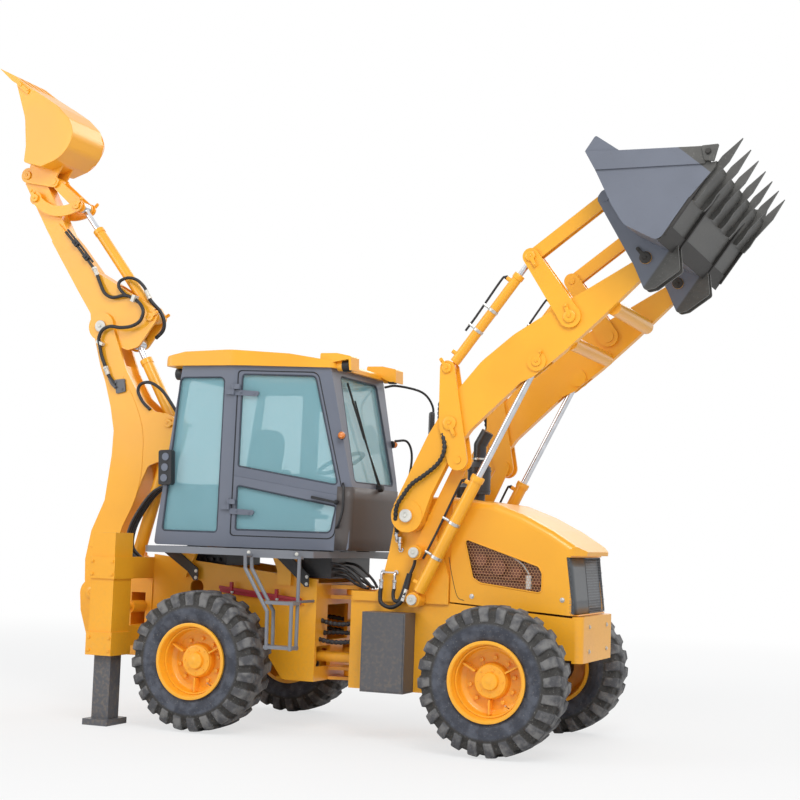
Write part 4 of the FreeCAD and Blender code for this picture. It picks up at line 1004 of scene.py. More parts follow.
@dataclass
class LoaderLinkage(Assembly):
    """Pin ends, cylinder ports, pipes and hoses of the loader arms."""

    eye: tuple = (1.362, 2.855)
    title: str = "loader linkage"

    def pins(self) -> None:
        """White caps on the fixed pins, painted caps with keepers on the others."""
        for joint, reach in (("lift", 0.612), ("lower_link_turn", 0.602),
                             ("lift_barrel_turn", 0.622)):
            small = PinEnd(0.040 if joint != "lift" else 0.050, 0.016)
            cap = small.shape(side_point(joint, -reach), -1)
            self.piece("pin_cap_" + joint, cap.twin(), "front_body", Finish.CAP, 0.001)
        for name, joint, body, reach, radius, angle in (
                ("crank", "bellcrank_turn", "bellcrank", 0.627, 0.052, 155),
                ("crank_top", "crank_pin_turn", "crank_pin", 0.629, 0.036, -35),
                ("lever_foot", "lever_shaft_turn", "lever_shaft", 0.629, 0.046, -20),
                ("lever_top", "lever_pin_turn", "lever_pin", 0.629, 0.038, 150)):
            cap = PinEnd(radius, 0.008, angle).shape(side_point(joint, -reach), -1)
            self.piece("pin_end_" + name, cap.twin(), body, Finish.YELLOW, 0.001)
        cap = PinEnd(0.038, 0.010, 20).shape(np.array(at_y(-0.609, self.eye)[0]), -1)
        self.piece("pin_end_lift_eye", cap.twin(), "arms", Finish.YELLOW, 0.001)

    def cylinder_trim(self, name: str, body: str, base: np.ndarray, toward: np.ndarray,
                      length: float, radius: float) -> None:
        """Gland nut, port blocks and a steel pipe with two clips along one cylinder barrel.

        Args:
            name: the cylinder's plain name.
            body: the body of its barrel.
            base: its foot pin.
            toward: its rod eye at rest.
            length: distance from the foot pin to the gland.
            radius: the barrel's radius.
        """
        d = (toward - base) / np.linalg.norm(toward - base)
        n = np.cross(d, LEFT)
        gland = lathe([(-0.004, radius * 1.02), (0.0, radius * 1.14), (0.034, radius * 1.14),
                       (0.040, radius * 1.05), (0.040, radius * 0.72)],
                      base + d * (length - 0.036), d, 24)
        near, far, stand = 0.12, length - 0.075, radius + 0.03
        port = [tube([base + d * s + n * radius * 0.9, base + d * s + n * stand], 0.017, 10)
                for s in (near, far)]
        trim = gland + port[0] + port[1]
        self.piece(f"gland_{name}", trim.twin(), body, Finish.YELLOW, 0.001)
        h = radius + 0.045
        route = [base + d * far + n * stand, base + d * (length - 0.080) + n * (h + 0.005),
                 base + d * (length - 0.13) + n * (h + 0.012),
                 base + d * (length * 0.5) + n * h, base + d * 0.30 + n * h]
        line = pipe(route, 0.009, 10, 8)
        nuts = tube([route[0], route[0] + n * 0.014], 0.016, 6)
        self.piece(f"pipe_{name}", (line + nuts).twin(), body, Finish.PLASTIC)
        clips = Shape.empty()
        for s in (0.36, length * 0.62):
            a = base + d * s
            clips += band(-0.012, 0.012, radius + 0.001, radius + 0.004, a, d, 32)
            clips += tube([a + n * radius, a + n * (h + 0.012)], 0.012, 8)
        self.piece(f"clips_{name}", clips.twin(), body, Finish.ZINC, 0.001)

    def hoses(self) -> None:
        """Ribbed hose from each tower up the arm, chrome elbows and U pipes below it."""
        y = -0.632
        route = [(0.262, -0.500, 1.560), (0.275, -0.545, 1.600), (0.285, -0.600, 1.680),
                 (0.305, y, 1.765), (0.345, y, 1.835), (0.421, y, 1.933), (0.531, y, 2.010),
                 (0.630, y, 2.098), (0.672, y, 2.200), (0.640, -0.60, 2.330),
                 (0.600, -0.56, 2.440), (0.590, -0.53, 2.560)]
        for s, hand in ((1, "right"), (-1, "left")):
            pts = [(a, b * s, c) for a, b, c in route]
            self.piece("arm_hose_" + hand, hose(pts, 0.016, True), "front_body",
                       Finish.HOSE, smooth_angle=50, bend=("arms", pts[2], pts[6]))
        fittings = Shape.empty()
        for a in ((0.262, -0.500, 1.560), (0.292, -0.500, 1.488)):
            a = np.array(a)
            fittings += pipe([a + [0, 0.03, -0.05], a + [0, 0.005, -0.05], a + [0, -0.004, -0.03],
                              a + [0.0, -0.006, 0.01]], 0.014, 10, 5)
            fittings += ferrule(a + [0, -0.006, 0.0], a + [0.003, -0.02, 0.05], 0.014, 0.05)
            fittings += tube([a + [0, 0.032, -0.05], a + [0, 0.012, -0.05]], 0.022, 6)
        for x in (0.153, 0.260):
            arch = [(x, -0.470, 1.262), (x, -0.495, 1.262), (x, -0.510, 1.250),
                    (x, -0.513, 1.215), (x, -0.513, 1.180)]
            fittings += pipe(arch, 0.011, 10, 5)
            fittings += ferrule([x, -0.513, 1.190], [x, -0.513, 1.1], 0.013, 0.05)
            fittings += tube([(x, -0.468, 1.262), (x, -0.486, 1.262)], 0.020, 6)
        fittings += tube([(0.153, -0.505, 1.262), (0.260, -0.505, 1.262)], 0.008, 8)
        self.piece("tower_fittings", fittings.twin(), "front_body", Finish.CHROME)
        loops = hose([(0.153, -0.513, 1.150), (0.146, -0.515, 1.100), (0.160, -0.520, 1.030),
                      (0.235, -0.527, 1.000), (0.310, -0.530, 1.030), (0.352, -0.525, 1.100),
                      (0.372, -0.520, 1.180), (0.388, -0.516, 1.260)], 0.016)
        loops += hose([(0.260, -0.513, 1.150), (0.252, -0.515, 1.105), (0.262, -0.520, 1.060),
                       (0.300, -0.524, 1.050), (0.330, -0.520, 1.110), (0.352, -0.514, 1.190),
                       (0.372, -0.510, 1.260)], 0.014)
        loops += hose([(0.388, -0.516, 1.260), (0.415, -0.512, 1.330), (0.420, -0.508, 1.400)],
                      0.012)
        self.piece("tower_hose_loops", loops.twin(), "front_body", Finish.HOSE)
        rest = ferrule([0.345, -0.522, 1.075], [0.40, -0.516, 1.26], 0.016, 0.07)
        self.piece("tower_hose_ends", rest.twin(), "front_body", Finish.ZINC)

    def build(self) -> None:
        """Dress both sides."""
        self.pins()
        foot, crank, lever = (side_point(joint, -ARM_LINE) for joint in (
            "lift_barrel_turn", "crank_pin_turn", "lever_pin_turn"))
        eye = np.array(at_y(-ARM_LINE, self.eye)[0])
        self.cylinder_trim("lift", "lift_barrel", foot, eye, 1.045, 0.046)
        self.cylinder_trim("tilt", "tilt_barrel", crank, lever, 0.88, 0.038)
        self.hoses()


@dataclass
class LoaderBucket(Assembly):
    """Strips, ribs, plates and fasteners on the loader bucket."""

    half: float = 1.05
    title: str = "loader bucket"

    def under(self, a: float, b: float, y0: float, y1: float, lift: float) -> Shape:
        """Flat bar on the bottom plate, from a to b metres up its slope from the heel."""
        d, foot = np.array(BUCKET_FLOOR), np.array(BUCKET_HEEL)
        n = d[::-1] * [1, -1]
        corners = [foot + d * a, foot + d * b, foot + d * b + n * lift, foot + d * a + n * lift]
        return plate([tuple(c) for c in corners], y0, y1)

    def build(self) -> None:
        """Side strips, corner plates, bottom ribs, heel strip, pin keepers."""
        strip = plate([(1.815, 4.290), (2.061, 4.283), (2.676, 4.276), (2.690, 4.262),
                       (2.665, 4.152), (1.892, 4.152)], -self.half - 0.012, -self.half)
        self.piece("bucket_side_strips", strip.twin(), "bucket", Finish.BUCKET, 0.002)
        corner = plate([(2.640, 4.276, 0.01), (2.765, 4.282, 0.01), (2.730, 4.160, 0.01),
                        (2.662, 4.175, 0.01)], -self.half - 0.026, -self.half - 0.012)
        self.piece("bucket_corner_plates", corner.twin(), "bucket", Finish.BUCKET, 0.002)
        bolt_set = bolts([(2.690, -self.half - 0.026, 4.232)], RIGHT, 0.020)
        self.piece("bucket_corner_bolts", bolt_set.twin(), "bucket", Finish.IRON)
        ribs = Shape.empty()
        for y0, y1 in ((-0.545, -0.515), (0.515, 0.545), (-1.045, -1.015), (1.015, 1.045)):
            ribs += self.under(0.06, 0.60, y0, y1, 0.022)
        ribs += self.under(0.0, 0.135, -self.half, self.half, 0.010)
        ribs += self.under(0.44, 0.452, -self.half, self.half, 0.006)
        self.piece("bucket_wear_ribs", ribs, "bucket", Finish.IRON, 0.002)
        x, z = PIVOT["tilt"][0], PIVOT["tilt"][2]
        caps = PinEnd(0.044, 0.010, -40).shape(np.array([x, -0.629, z]), -1)
        inner = PinEnd(0.044, 0.006).shape(np.array([x, -0.491, z]), 1)
        self.piece("bucket_pin_ends", (caps + inner).twin(), "bucket_pin", Finish.IRON, 0.001)


@dataclass
class Hood(Assembly):
    """Perforated side panels, front grille, seams and latches of the engine hood."""

    pitch: float = 0.0235
    row: float = 0.866
    mesh_face: float = 0.441
    nose_x: float = 1.612
    nose_top: float = 1.427
    lean: float = 0.12
    corner_start: float = 0.395
    hole: float = 0.88
    title: str = "hood"
    panel: tuple = ((0.790, 1.539), (1.374, 1.352), (1.402, 1.302), (1.402, 1.155),
                    (0.924, 1.211), (0.863, 1.247))

    def honeycomb(self, width: tuple, height: tuple, inside: Sheet, place: Sheet) -> Shape:
        """Perforated sheet: a hexagon of web round each hole, holes in staggered rows.

        Args:
            width: range along the sheet.
            height: range of heights.
            inside: says which hole centres (a, b) lie on the sheet.
            place: turns sheet points (a, b) into points in space.

        Returns:
            The sheet of webs, without thickness.
        """
        p = self.pitch
        cols, rows = (int((r[1] - r[0]) / s) + 1
                      for r, s in ((width, p), (height, p * self.row)))
        i, j = np.meshgrid(np.arange(cols), np.arange(rows))
        a = (width[0] + (i + 0.5 * (j % 2)) * p).ravel()
        b = (height[0] + j * p * self.row).ravel()
        keep = inside(a, b)
        centre = np.column_stack([a[keep], b[keep]])
        angle = np.arange(6) * np.pi / 3 + np.pi / 6
        ring = np.column_stack([np.cos(angle), np.sin(angle)]) * p / math.sqrt(3)
        flat = np.concatenate([centre[:, None] + ring, centre[:, None] + ring * self.hole], 1)
        k = np.arange(6)
        quad = np.stack([k, (k + 1) % 6, (k + 1) % 6 + 6, k + 6], -1)
        faces = (quad[None] + (np.arange(len(centre)) * 12)[:, None, None]).reshape(-1, 4)
        return Shape(place(flat[..., 0].ravel(), flat[..., 1].ravel()), [faces])

    def within(self, a: np.ndarray, b: np.ndarray) -> np.ndarray:
        """True where (a, b) lies inside the side panel: left of every edge of the outline."""
        o = np.array(self.panel)[::-1]
        e = np.roll(o, -1, 0) - o
        cross = (e[:, 0, None] * (b - o[:, 1, None]) - e[:, 1, None] * (a - o[:, 0, None]))
        cross /= np.linalg.norm(e, axis=1)[:, None]
        return (cross > -0.004).all(0) if cross.max() > 0 else (cross < 0.004).all(0)

    def side_panels(self) -> None:
        """Honeycomb behind each side opening, with a rolled edge round it."""
        place = lambda a, b: np.column_stack([a, np.full(len(a), -self.mesh_face), b])
        sheet = self.honeycomb((0.79, 1.42), (1.15, 1.55), self.within, place).flipped()
        self.piece("hood_side_mesh", sheet.twin(), "front_body", Finish.MESH)
        back = plate(list(self.panel), -0.392, -0.388)
        for x, z, r in ((0.92, 1.38, 0.045), (1.06, 1.33, 0.055), (1.20, 1.30, 0.040)):
            back += lathe([(0, 0.001), (0, r * 0.8), (-0.006, r), (-0.022, r)],
                          (x, -0.418, z), LEFT, 24).flipped()
        back += tube([(0.86, -0.405, 1.295), (1.38, -0.405, 1.215)], 0.016, 10)
        self.piece("engine_side", back.twin(), "front_body", Finish.ENGINE, smooth_angle=40)
        fuel = lathe([(0, 0.001), (0, 0.030), (0.10, 0.030), (0.10, 0.001)],
                     (1.290, -0.405, 1.185), UP, 20)
        fuel += pipe([(1.10, -0.408, 1.44), (1.18, -0.410, 1.40), (1.24, -0.412, 1.36),
                      (1.29, -0.408, 1.29)], 0.008, 8, 5)
        self.piece("engine_filters", fuel.twin(), "front_body", Finish.ZINC, smooth_angle=40)
        o = rounded([(a, b, r) for (a, b), r in zip(self.panel, (.02, .03, .02, .03, .04, .03))])
        path = np.column_stack([o[:, 0], np.full(len(o), -FLANK), o[:, 1]])
        loop = rope(path, 0.005)
        self.piece("hood_panel_rims", loop.twin(), "front_body", Finish.YELLOW)

    def front_grille(self) -> None:
        """Plain panel on the right-hand half of the leaning front, honeycomb on the rest.

        A front point is (y, z). It lies at x = nose_x + lean (nose_top - z), and steps back with
        the square of its distance beyond the corner's start.
        """
        corner = lambda a: np.clip(np.abs(a) - self.corner_start, 0, None)
        nose = lambda a, b, out: np.column_stack(
            [self.nose_x + out + (self.nose_top - b) * self.lean - corner(a) ** 2 * 9, a, b])
        sheet = self.honeycomb((-0.070, 0.440), (1.022, 1.420), lambda a, b: np.full(a.shape, True),
                               lambda a, b: nose(a, b, 0.0)).flipped()
        side_x = lambda b: 1.581 + (self.nose_top - b) * 0.122
        side = self.honeycomb((1.560, 1.648), (1.022, 1.420),
                              lambda a, b: np.abs(a - side_x(b)) < 0.014,
                              lambda a, b: np.column_stack([a, np.full(len(a), -0.4455), b]))
        mesh = self.piece("hood_front_mesh", sheet + side.flipped().twin(), "front_body",
                          Finish.GREY)
        cheek = plate([(1.572, 1.425), (1.604, 1.425), (1.650, 1.018), (1.618, 1.018)], -0.438,
                      -0.434)
        self.piece("grille_cheeks", cheek.twin(), "front_body", Finish.GRILLE)
        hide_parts("hood_grilles")
        y = np.linspace(-0.436, -0.062, 24)
        z = np.linspace(1.016, 1.421, 5)
        rows = np.stack([nose(y, np.full(24, h), -0.002) for h in z])
        obj = self.piece("hood_front_panel", grid(rows), "front_body", Finish.GRILLE)
        thicken(obj, 0.008)
        y = np.linspace(-0.425, 0.430, 40)
        core = grid(np.stack([nose(y, np.full(40, h), -0.026) for h in z]))
        obj = self.piece("radiator_core", core, "front_body", Finish.GRILLE)
        thicken(obj, 0.004)
        rim = np.array([(-0.062, 1.016), (-0.062, 1.421), (0.440, 1.421), (0.440, 1.016)])
        loop = rope(nose(*rim.T, -0.002), 0.006, 6)
        self.piece("hood_front_rim", loop, "front_body", Finish.BLACK)

    def seams(self) -> None:
        """Dark seam lines behind the panel and under the hood, and quarter-turn latches."""
        lines = pipe([(0.669, -0.4503, 1.396), (0.700, -0.4503, 1.25), (0.745, -0.4503, 1.105),
                      (0.80, -0.4503, 1.075)], 0.0022, 6)
        self.piece("hood_seams", lines.twin(), "front_body", Finish.PLASTIC)
        latch = bolts([(0.860, -FLANK, 1.110), (1.560, -FLANK, 1.115)], RIGHT, 0.016, 0.5)
        self.piece("hood_latches", latch.twin(), "front_body", Finish.ZINC)

    def stack(self) -> None:
        """Air cleaner and silencer with clamp bands beside the exhaust."""
        can = lathe([(0, 0.05), (0.0, 0.075), (0.10, 0.085), (0.115, 0.05), (0.135, 0.03)],
                    (0.560, 0.20, 1.845), UP, 28)
        for z in (1.905, 2.060):
            can += band(0, 0.016, 0.0905, 0.0945, (0.735, 0, z), UP)
        self.piece("silencer_and_cleaner", can, "front_body", Finish.BLACK, 0.002)
        bands = band(0, 0.014, 0.0505, 0.055, (0.735, 0, 2.155), UP)
        bands += bolts([(0.735, -0.056, 2.162)], RIGHT, 0.008)
        self.piece("exhaust_clamp", bands, "front_body", Finish.ZINC)

    def build(self) -> None:
        """Dress the hood."""
        self.side_panels()
        self.front_grille()
        self.seams()
        self.stack()


@dataclass
class Cab(Assembly):
    """Glass, seals, doors' fittings, lamps, wipers and cowl of the cab."""

    title: str = "cab"
    wall: tuple = ((-1.740, 0.740), (-1.110, 0.740), (-0.985, 0.722), (-0.130, 0.475))
    front_wall: tuple = (-0.140, 1.90, 0.2043)
    back_wall: tuple = (-1.725, 1.41, 0.1352)
    rear_side: tuple = ((-1.655, 1.520, .03), (-1.545, 2.740, .04), (-1.150, 2.740, .04),
                        (-1.160, 1.520, .03))
    door_top: tuple = ((-1.008, 2.040, .02), (-1.004, 2.764, .025), (-0.444, 2.764, .04),
                       (-0.244, 1.914, .025))
    door_low: tuple = ((-1.010, 1.545, .02), (-1.010, 1.893, .02), (-0.253, 1.753, .02),
                       (-0.290, 1.545, .04))
    door_edge: tuple = ((-1.046, 1.500, .03), (-1.0424, 1.965), (-0.2183, 1.835),
                        (-0.265, 1.500, .06), (-1.036, 2.790, .03), (-0.425, 2.790, .06),
                        (-0.212, 1.880, .06))
    screen: tuple = ((-0.400, 1.945, .04), (0.400, 1.945, .04), (0.370, 2.780, .04),
                     (-0.370, 2.780, .04))
    back: tuple = ((-0.610, 1.900, .05), (0.610, 1.900, .05), (0.610, 2.740, .05),
                   (-0.610, 2.740, .05))

    def on_side(self, inset: float) -> Sheet:
        """Map (x, z) to the right-hand wall, inset from its outer face along Y."""
        xs, ys = np.array(self.wall).T
        return lambda a, b: np.column_stack([a, -(np.interp(a, xs, ys) - inset), b])

    def on_front(self, inset: float) -> Sheet:
        """Map (y, z) to the leaning front wall, set back by inset."""
        x, z, lean = self.front_wall
        return lambda a, b: np.column_stack([x - inset - (b - z) * lean, a, b])

    def on_back(self, inset: float) -> Sheet:
        """Map (y, z) to the leaning rear wall, set forward by inset."""
        x, z, lean = self.back_wall
        return lambda a, b: np.column_stack([x + inset + (b - z) * lean, a, b])

    def pane(self, name: str, outline: tuple, wall: Wall, body: str, mirror: bool) -> None:
        """One glass pane 6 mm thick, grown into its seal, and the rubber bead round it.

        The pane is the outline grown by 6 mm and mapped to the wall at two depths. The bead is a
        tube along the mapped outline.

        Args:
            name: the pane's plain name.
            outline: its edge on the wall, as (a, b, corner radius).
            wall: maps (a, b) to the wall at a depth.
            body: the body that carries it.
            mirror: whether there is a pane like it on the left.
        """
        o = rounded(list(outline))
        grown = o + (o - o.mean(0)) / np.linalg.norm(o - o.mean(0), axis=1)[:, None] * 0.006
        shape = prism(grown, lambda a, b, s: wall((0.020, 0.026)[s])(a, b))
        bead = rope(wall(0.006)(*o.T[:2]), 0.008)
        for side, hand in SIDES if mirror else SIDES[:1]:
            tag = f"{name}_{hand}" if mirror else name
            rides = body.replace("right", hand)
            self.piece("glass_" + tag, shape.on(side), rides, Finish.GLASS)
            self.piece("seal_" + tag, bead.on(side), rides, Finish.SEAL)

    def doors(self) -> None:
        """Thin door frames in place of the doors' plain solids, straps, latches, grab bars."""
        at = self.on_side(0.0)
        low, rear, front, toe, top_rear, top_front, knee = self.door_edge
        x, y, _ = PIVOT["door_right_swing"]
        depths = (0.0, 0.034)
        panel = window_frame([rear, top_rear, top_front, knee, front], list(self.door_top),
                             self.on_side, depths)
        panel += window_frame([low, rear, front, toe], list(self.door_low), self.on_side, depths)
        for z in (1.742, 2.642):
            panel += lathe([(0, 0.013), (0.040, 0.013)], (x, y, z), UP, 16)
            panel += block(x, x + 0.060, y - 0.006, y + 0.011, z, z + 0.040)
        strap = Shape.empty()
        for z in (1.690, 2.620):
            o = rounded([(-1.055, z - 0.024, .012), (-0.870, z - 0.030, .024),
                         (-0.862, z + 0.010, .016), (-1.055, z + 0.020, .012)])
            strap += prism(o, lambda a, b, k: self.on_side((-0.014, -0.001)[k])(a, b))
            ends = at(np.array([-1.0, -0.9]), np.array([z, z - 0.01]))
            strap += bolts(ends + [0, -0.014, 0], RIGHT, 0.008, 0.5)
        o = rounded([(-0.430, 1.806, .006), (-0.240, 1.772, .006), (-0.236, 1.790, .006),
                     (-0.428, 1.828, .006)])
        grip = prism(o, lambda a, b, k: self.on_side((-0.038, -0.022)[k])(a, b))
        lock = at(np.array([-0.252]), np.array([1.784]))[0]
        grip += lathe([(0, 0.020), (0.020, 0.018), (0.026, 0.014), (0.026, 0.006)], lock,
                      (0.27, -0.96, 0), 20)
        o = rounded([low, top_rear, top_front, knee, toe])
        gap = rope(self.on_side(0.001)(*o.T), 0.0045, 6)
        for side, hand in SIDES:
            door = "door_" + hand
            obj = self.piece("door_frame_" + hand, panel.on(side), door, Finish.SLATE, 0.0025)
            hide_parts(door)
            self.piece("door_straps_" + hand, strap.on(side), door, Finish.SLATE, 0.004)
            self.piece("door_fittings_" + hand, grip.on(side), door, Finish.PLASTIC, 0.002)
            self.piece("door_gap_seal_" + hand, gap.on(side), "rear_body", Finish.PLASTIC)
        bar = pipe([(-0.205, -0.500, 1.93), (-0.185, -0.530, 1.90), (-0.180, -0.535, 1.83),
                    (-0.185, -0.535, 1.72), (-0.215, -0.530, 1.62), (-0.245, -0.505, 1.585)], 0.010)
        self.piece("grab_bars", bar.twin(), "rear_body", Finish.PLASTIC)

    def lamps(self) -> None:
        """Amber indicators, work lamps under the roof, the rear lamp boxes."""
        aim = (0.35, -0.93, 0.05)
        amber = lathe([(0, 0.024), (0.018, 0.030), (0.034, 0.028), (0.046, 0.018)],
                      (-0.222, -0.520, 2.300), aim, 24)
        self.piece("indicator_lenses", amber.twin(), "rear_body", Finish.AMBER, 0.002)
        base = lathe([(-0.012, 0.030), (0.004, 0.032), (0.006, 0.026)],
                     (-0.222, -0.518, 2.300), aim, 24)
        box = plate([(-1.6835, 2.153, .02), (-1.5665, 2.159, .02), (-1.5535, 1.882, .02),
                     (-1.6715, 1.877, .02)], -0.802, -0.742)
        self.piece("rear_lamp_boxes", (base + box).twin(), "rear_body", Finish.PLASTIC, 0.004)
        case, glass = Shape.empty(), Shape.empty()
        for x, y, z, way in ((-0.292, -0.470, 2.852, 1.0), (-0.292, 0.470, 2.852, 1.0),
                             (-1.600, -0.520, 2.790, -1.0), (-1.600, 0.520, 2.790, -1.0)):
            face = (x + way * 0.084, y, z)
            case += lathe([(-0.040, 0.0485), (0.016, 0.0495), (0.020, 0.047), (0.020, 0.041),
                           (0.002, 0.041)], face, (way, 0, 0), 28)
            glass += lathe([(0.003, 0.0405), (0.009, 0.038), (0.012, 0.020)], face,
                           (way, 0, 0), 28)
        self.piece("work_lamp_cases", case, "rear_body", Finish.PLASTIC, 0.001)
        self.piece("work_lamp_lenses", glass, "rear_body", Finish.CLEAR)

    def front(self) -> None:
        """Wiper arms and motor, cowl panel below the screen, mirror on its arm."""
        w = self.on_front(-0.022)
        wiper = Shape.empty()
        for y0, y1 in ((0.06, -0.26), (0.02, -0.20)):
            p = w(np.array([y0, (y0 + y1) / 2, y1]), np.array([1.925, 2.25, 2.60]))
            wiper += pipe(list(p), 0.007, 8)
        blade = w(np.array([-0.13, -0.30]), np.array([2.30, 2.735]))
        wiper += tube(blade, 0.009, 6)
        hub = w(np.array([0.045]), np.array([1.915]))[0]
        wiper += lathe([(-0.03, 0.03), (0.02, 0.03), (0.03, 0.02)], hub, (1, 0, 0.1), 20)
        self.piece("wipers", wiper, "rear_body", Finish.PLASTIC)
        corner = rounded([(-0.245, -0.5135), (-0.126, -0.479, 0.062), (-0.126, 0.479, 0.062),
                          (-0.245, 0.5135)])[1:]
        corner = np.vstack([[(-0.245, -0.5135)], corner])
        z = np.linspace(1.412, 1.905, 6)[:, None]
        lean = np.where(z < 1.9, (z - 1.90) * 0.0204, 0.0)
        pts = np.stack([corner[None, :, 0] + lean, np.broadcast_to(corner[:, 1], (6, len(corner))),
                        np.broadcast_to(z, (6, len(corner)))], -1)
        skin = grid(pts).flipped()
        # The cowl's brown-grey finish is painted shade and a painted reflection of the floor on the
        # slate cab front.
        obj = self.piece("cab_cowl", skin, "rear_body", Finish.COWL_SHADED)
        thicken(obj, 0.004, -1.0)
        arm = pipe([(-0.300, 0.500, 2.780), (-0.220, 0.580, 2.800), (-0.050, 0.720, 2.760),
                    (0.020, 0.800, 2.650), (0.020, 0.820, 2.520)], 0.010)
        arm += pipe([(-0.200, 0.520, 2.330), (-0.120, 0.600, 2.330), (-0.090, 0.640, 2.200),
                     (-0.120, 0.620, 1.950), (-0.170, 0.540, 1.800)], 0.010)
        self.piece("mirror_arms", arm, "rear_body", Finish.PLASTIC)
        head = plate([(-0.055, 2.340, .03), (0.075, 2.340, .03), (0.075, 2.600, .03),
                      (-0.055, 2.600, .03)], 0.800, 0.838)
        head = Shape((head.points - [0.01, 0.82, 2.47]) @ rotation(-62, "z").T
                     + [0.01, 0.82, 2.47], head.faces)
        self.piece("mirror_head", head, "rear_body", Finish.PLASTIC, 0.008)

    def build(self) -> None:
        """Dress the cab."""
        self.pane("rear_side", self.rear_side, self.on_side, "rear_body", True)
        self.pane("door_upper", self.door_top, self.on_side, "door_right", True)
        self.pane("door_lower", self.door_low, self.on_side, "door_right", True)
        self.pane("windscreen", self.screen, self.on_front, "rear_body", False)
        self.pane("back_window", self.back, self.on_back, "rear_body", False)
        self.doors()
        self.lamps()
        self.front()


@dataclass
class Seat(Assembly):
    """Operator's seat: crowned cushions with piping on a moulded base."""

    title: str = "seat"

    def cushion(self, name: str, centre: tuple, size: tuple, lean: float) -> None:
        """Padded block whose faces bulge: x, y, z = half size times signed powers of sine and
        cosine, with powers near 0.5 for flat sides and soft corners, and a shallow dip along its
        middle.
        """
        u = np.linspace(-np.pi / 2, np.pi / 2, 28)[:, None]
        v = np.linspace(-np.pi, np.pi, 56, endpoint=False)[None]
        power = lambda t, e: np.sign(t) * np.abs(t) ** e
        x = power(np.cos(u), 0.42) * power(np.cos(v), 0.42) * size[0] / 2
        y = power(np.cos(u), 0.42) * power(np.sin(v), 0.42) * size[1] / 2
        z = power(np.sin(u), 0.55) * np.ones_like(v) * size[2] / 2
        z = z * (1 - 0.16 * np.cos(np.clip(y / size[1] * 2.2, -1, 1) * np.pi) * (z > 0))
        pts = np.stack([x, y, z], -1) @ rotation(lean).T + centre
        body = grid(pts, wrap_v=True)
        obj = self.piece(name, body, "rear_body", Finish.CLOTH, smooth_angle=180)
        ring = pts[len(pts) // 2]
        self.piece(name + "_piping", rope(ring, 0.006), "rear_body", Finish.PLASTIC)

    def build(self) -> None:
        """Base, cushion, backrest, armrests; they stand for the plain seat solid."""
        base = block(-1.10, -0.78, -0.18, 0.18, 1.452, 1.700)
        base += slab([(-1.17, -0.22, .03), (-0.70, -0.22, .03), (-0.70, 0.22, .03),
                      (-1.17, 0.22, .03)], 1.700, 1.725)
        obj = self.piece("seat_base", base, "rear_body", Finish.PLASTIC, 0.01)
        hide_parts("seat")
        self.cushion("seat_cushion", (-0.925, 0, 1.785), (0.540, 0.490, 0.125), 0)
        self.cushion("seat_back", (-1.145, 0, 2.075), (0.600, 0.460, 0.125), 98)
        arms = Shape.empty()
        for y in (-0.275, 0.275):
            arms += plate([(-1.12, 2.020, .02), (-0.78, 2.040, .025), (-0.78, 1.995, .025),
                           (-1.12, 1.970, .02)], y - 0.03, y + 0.03)
        self.piece("seat_armrests", arms, "rear_body", Finish.PLASTIC, 0.012, segments=3)


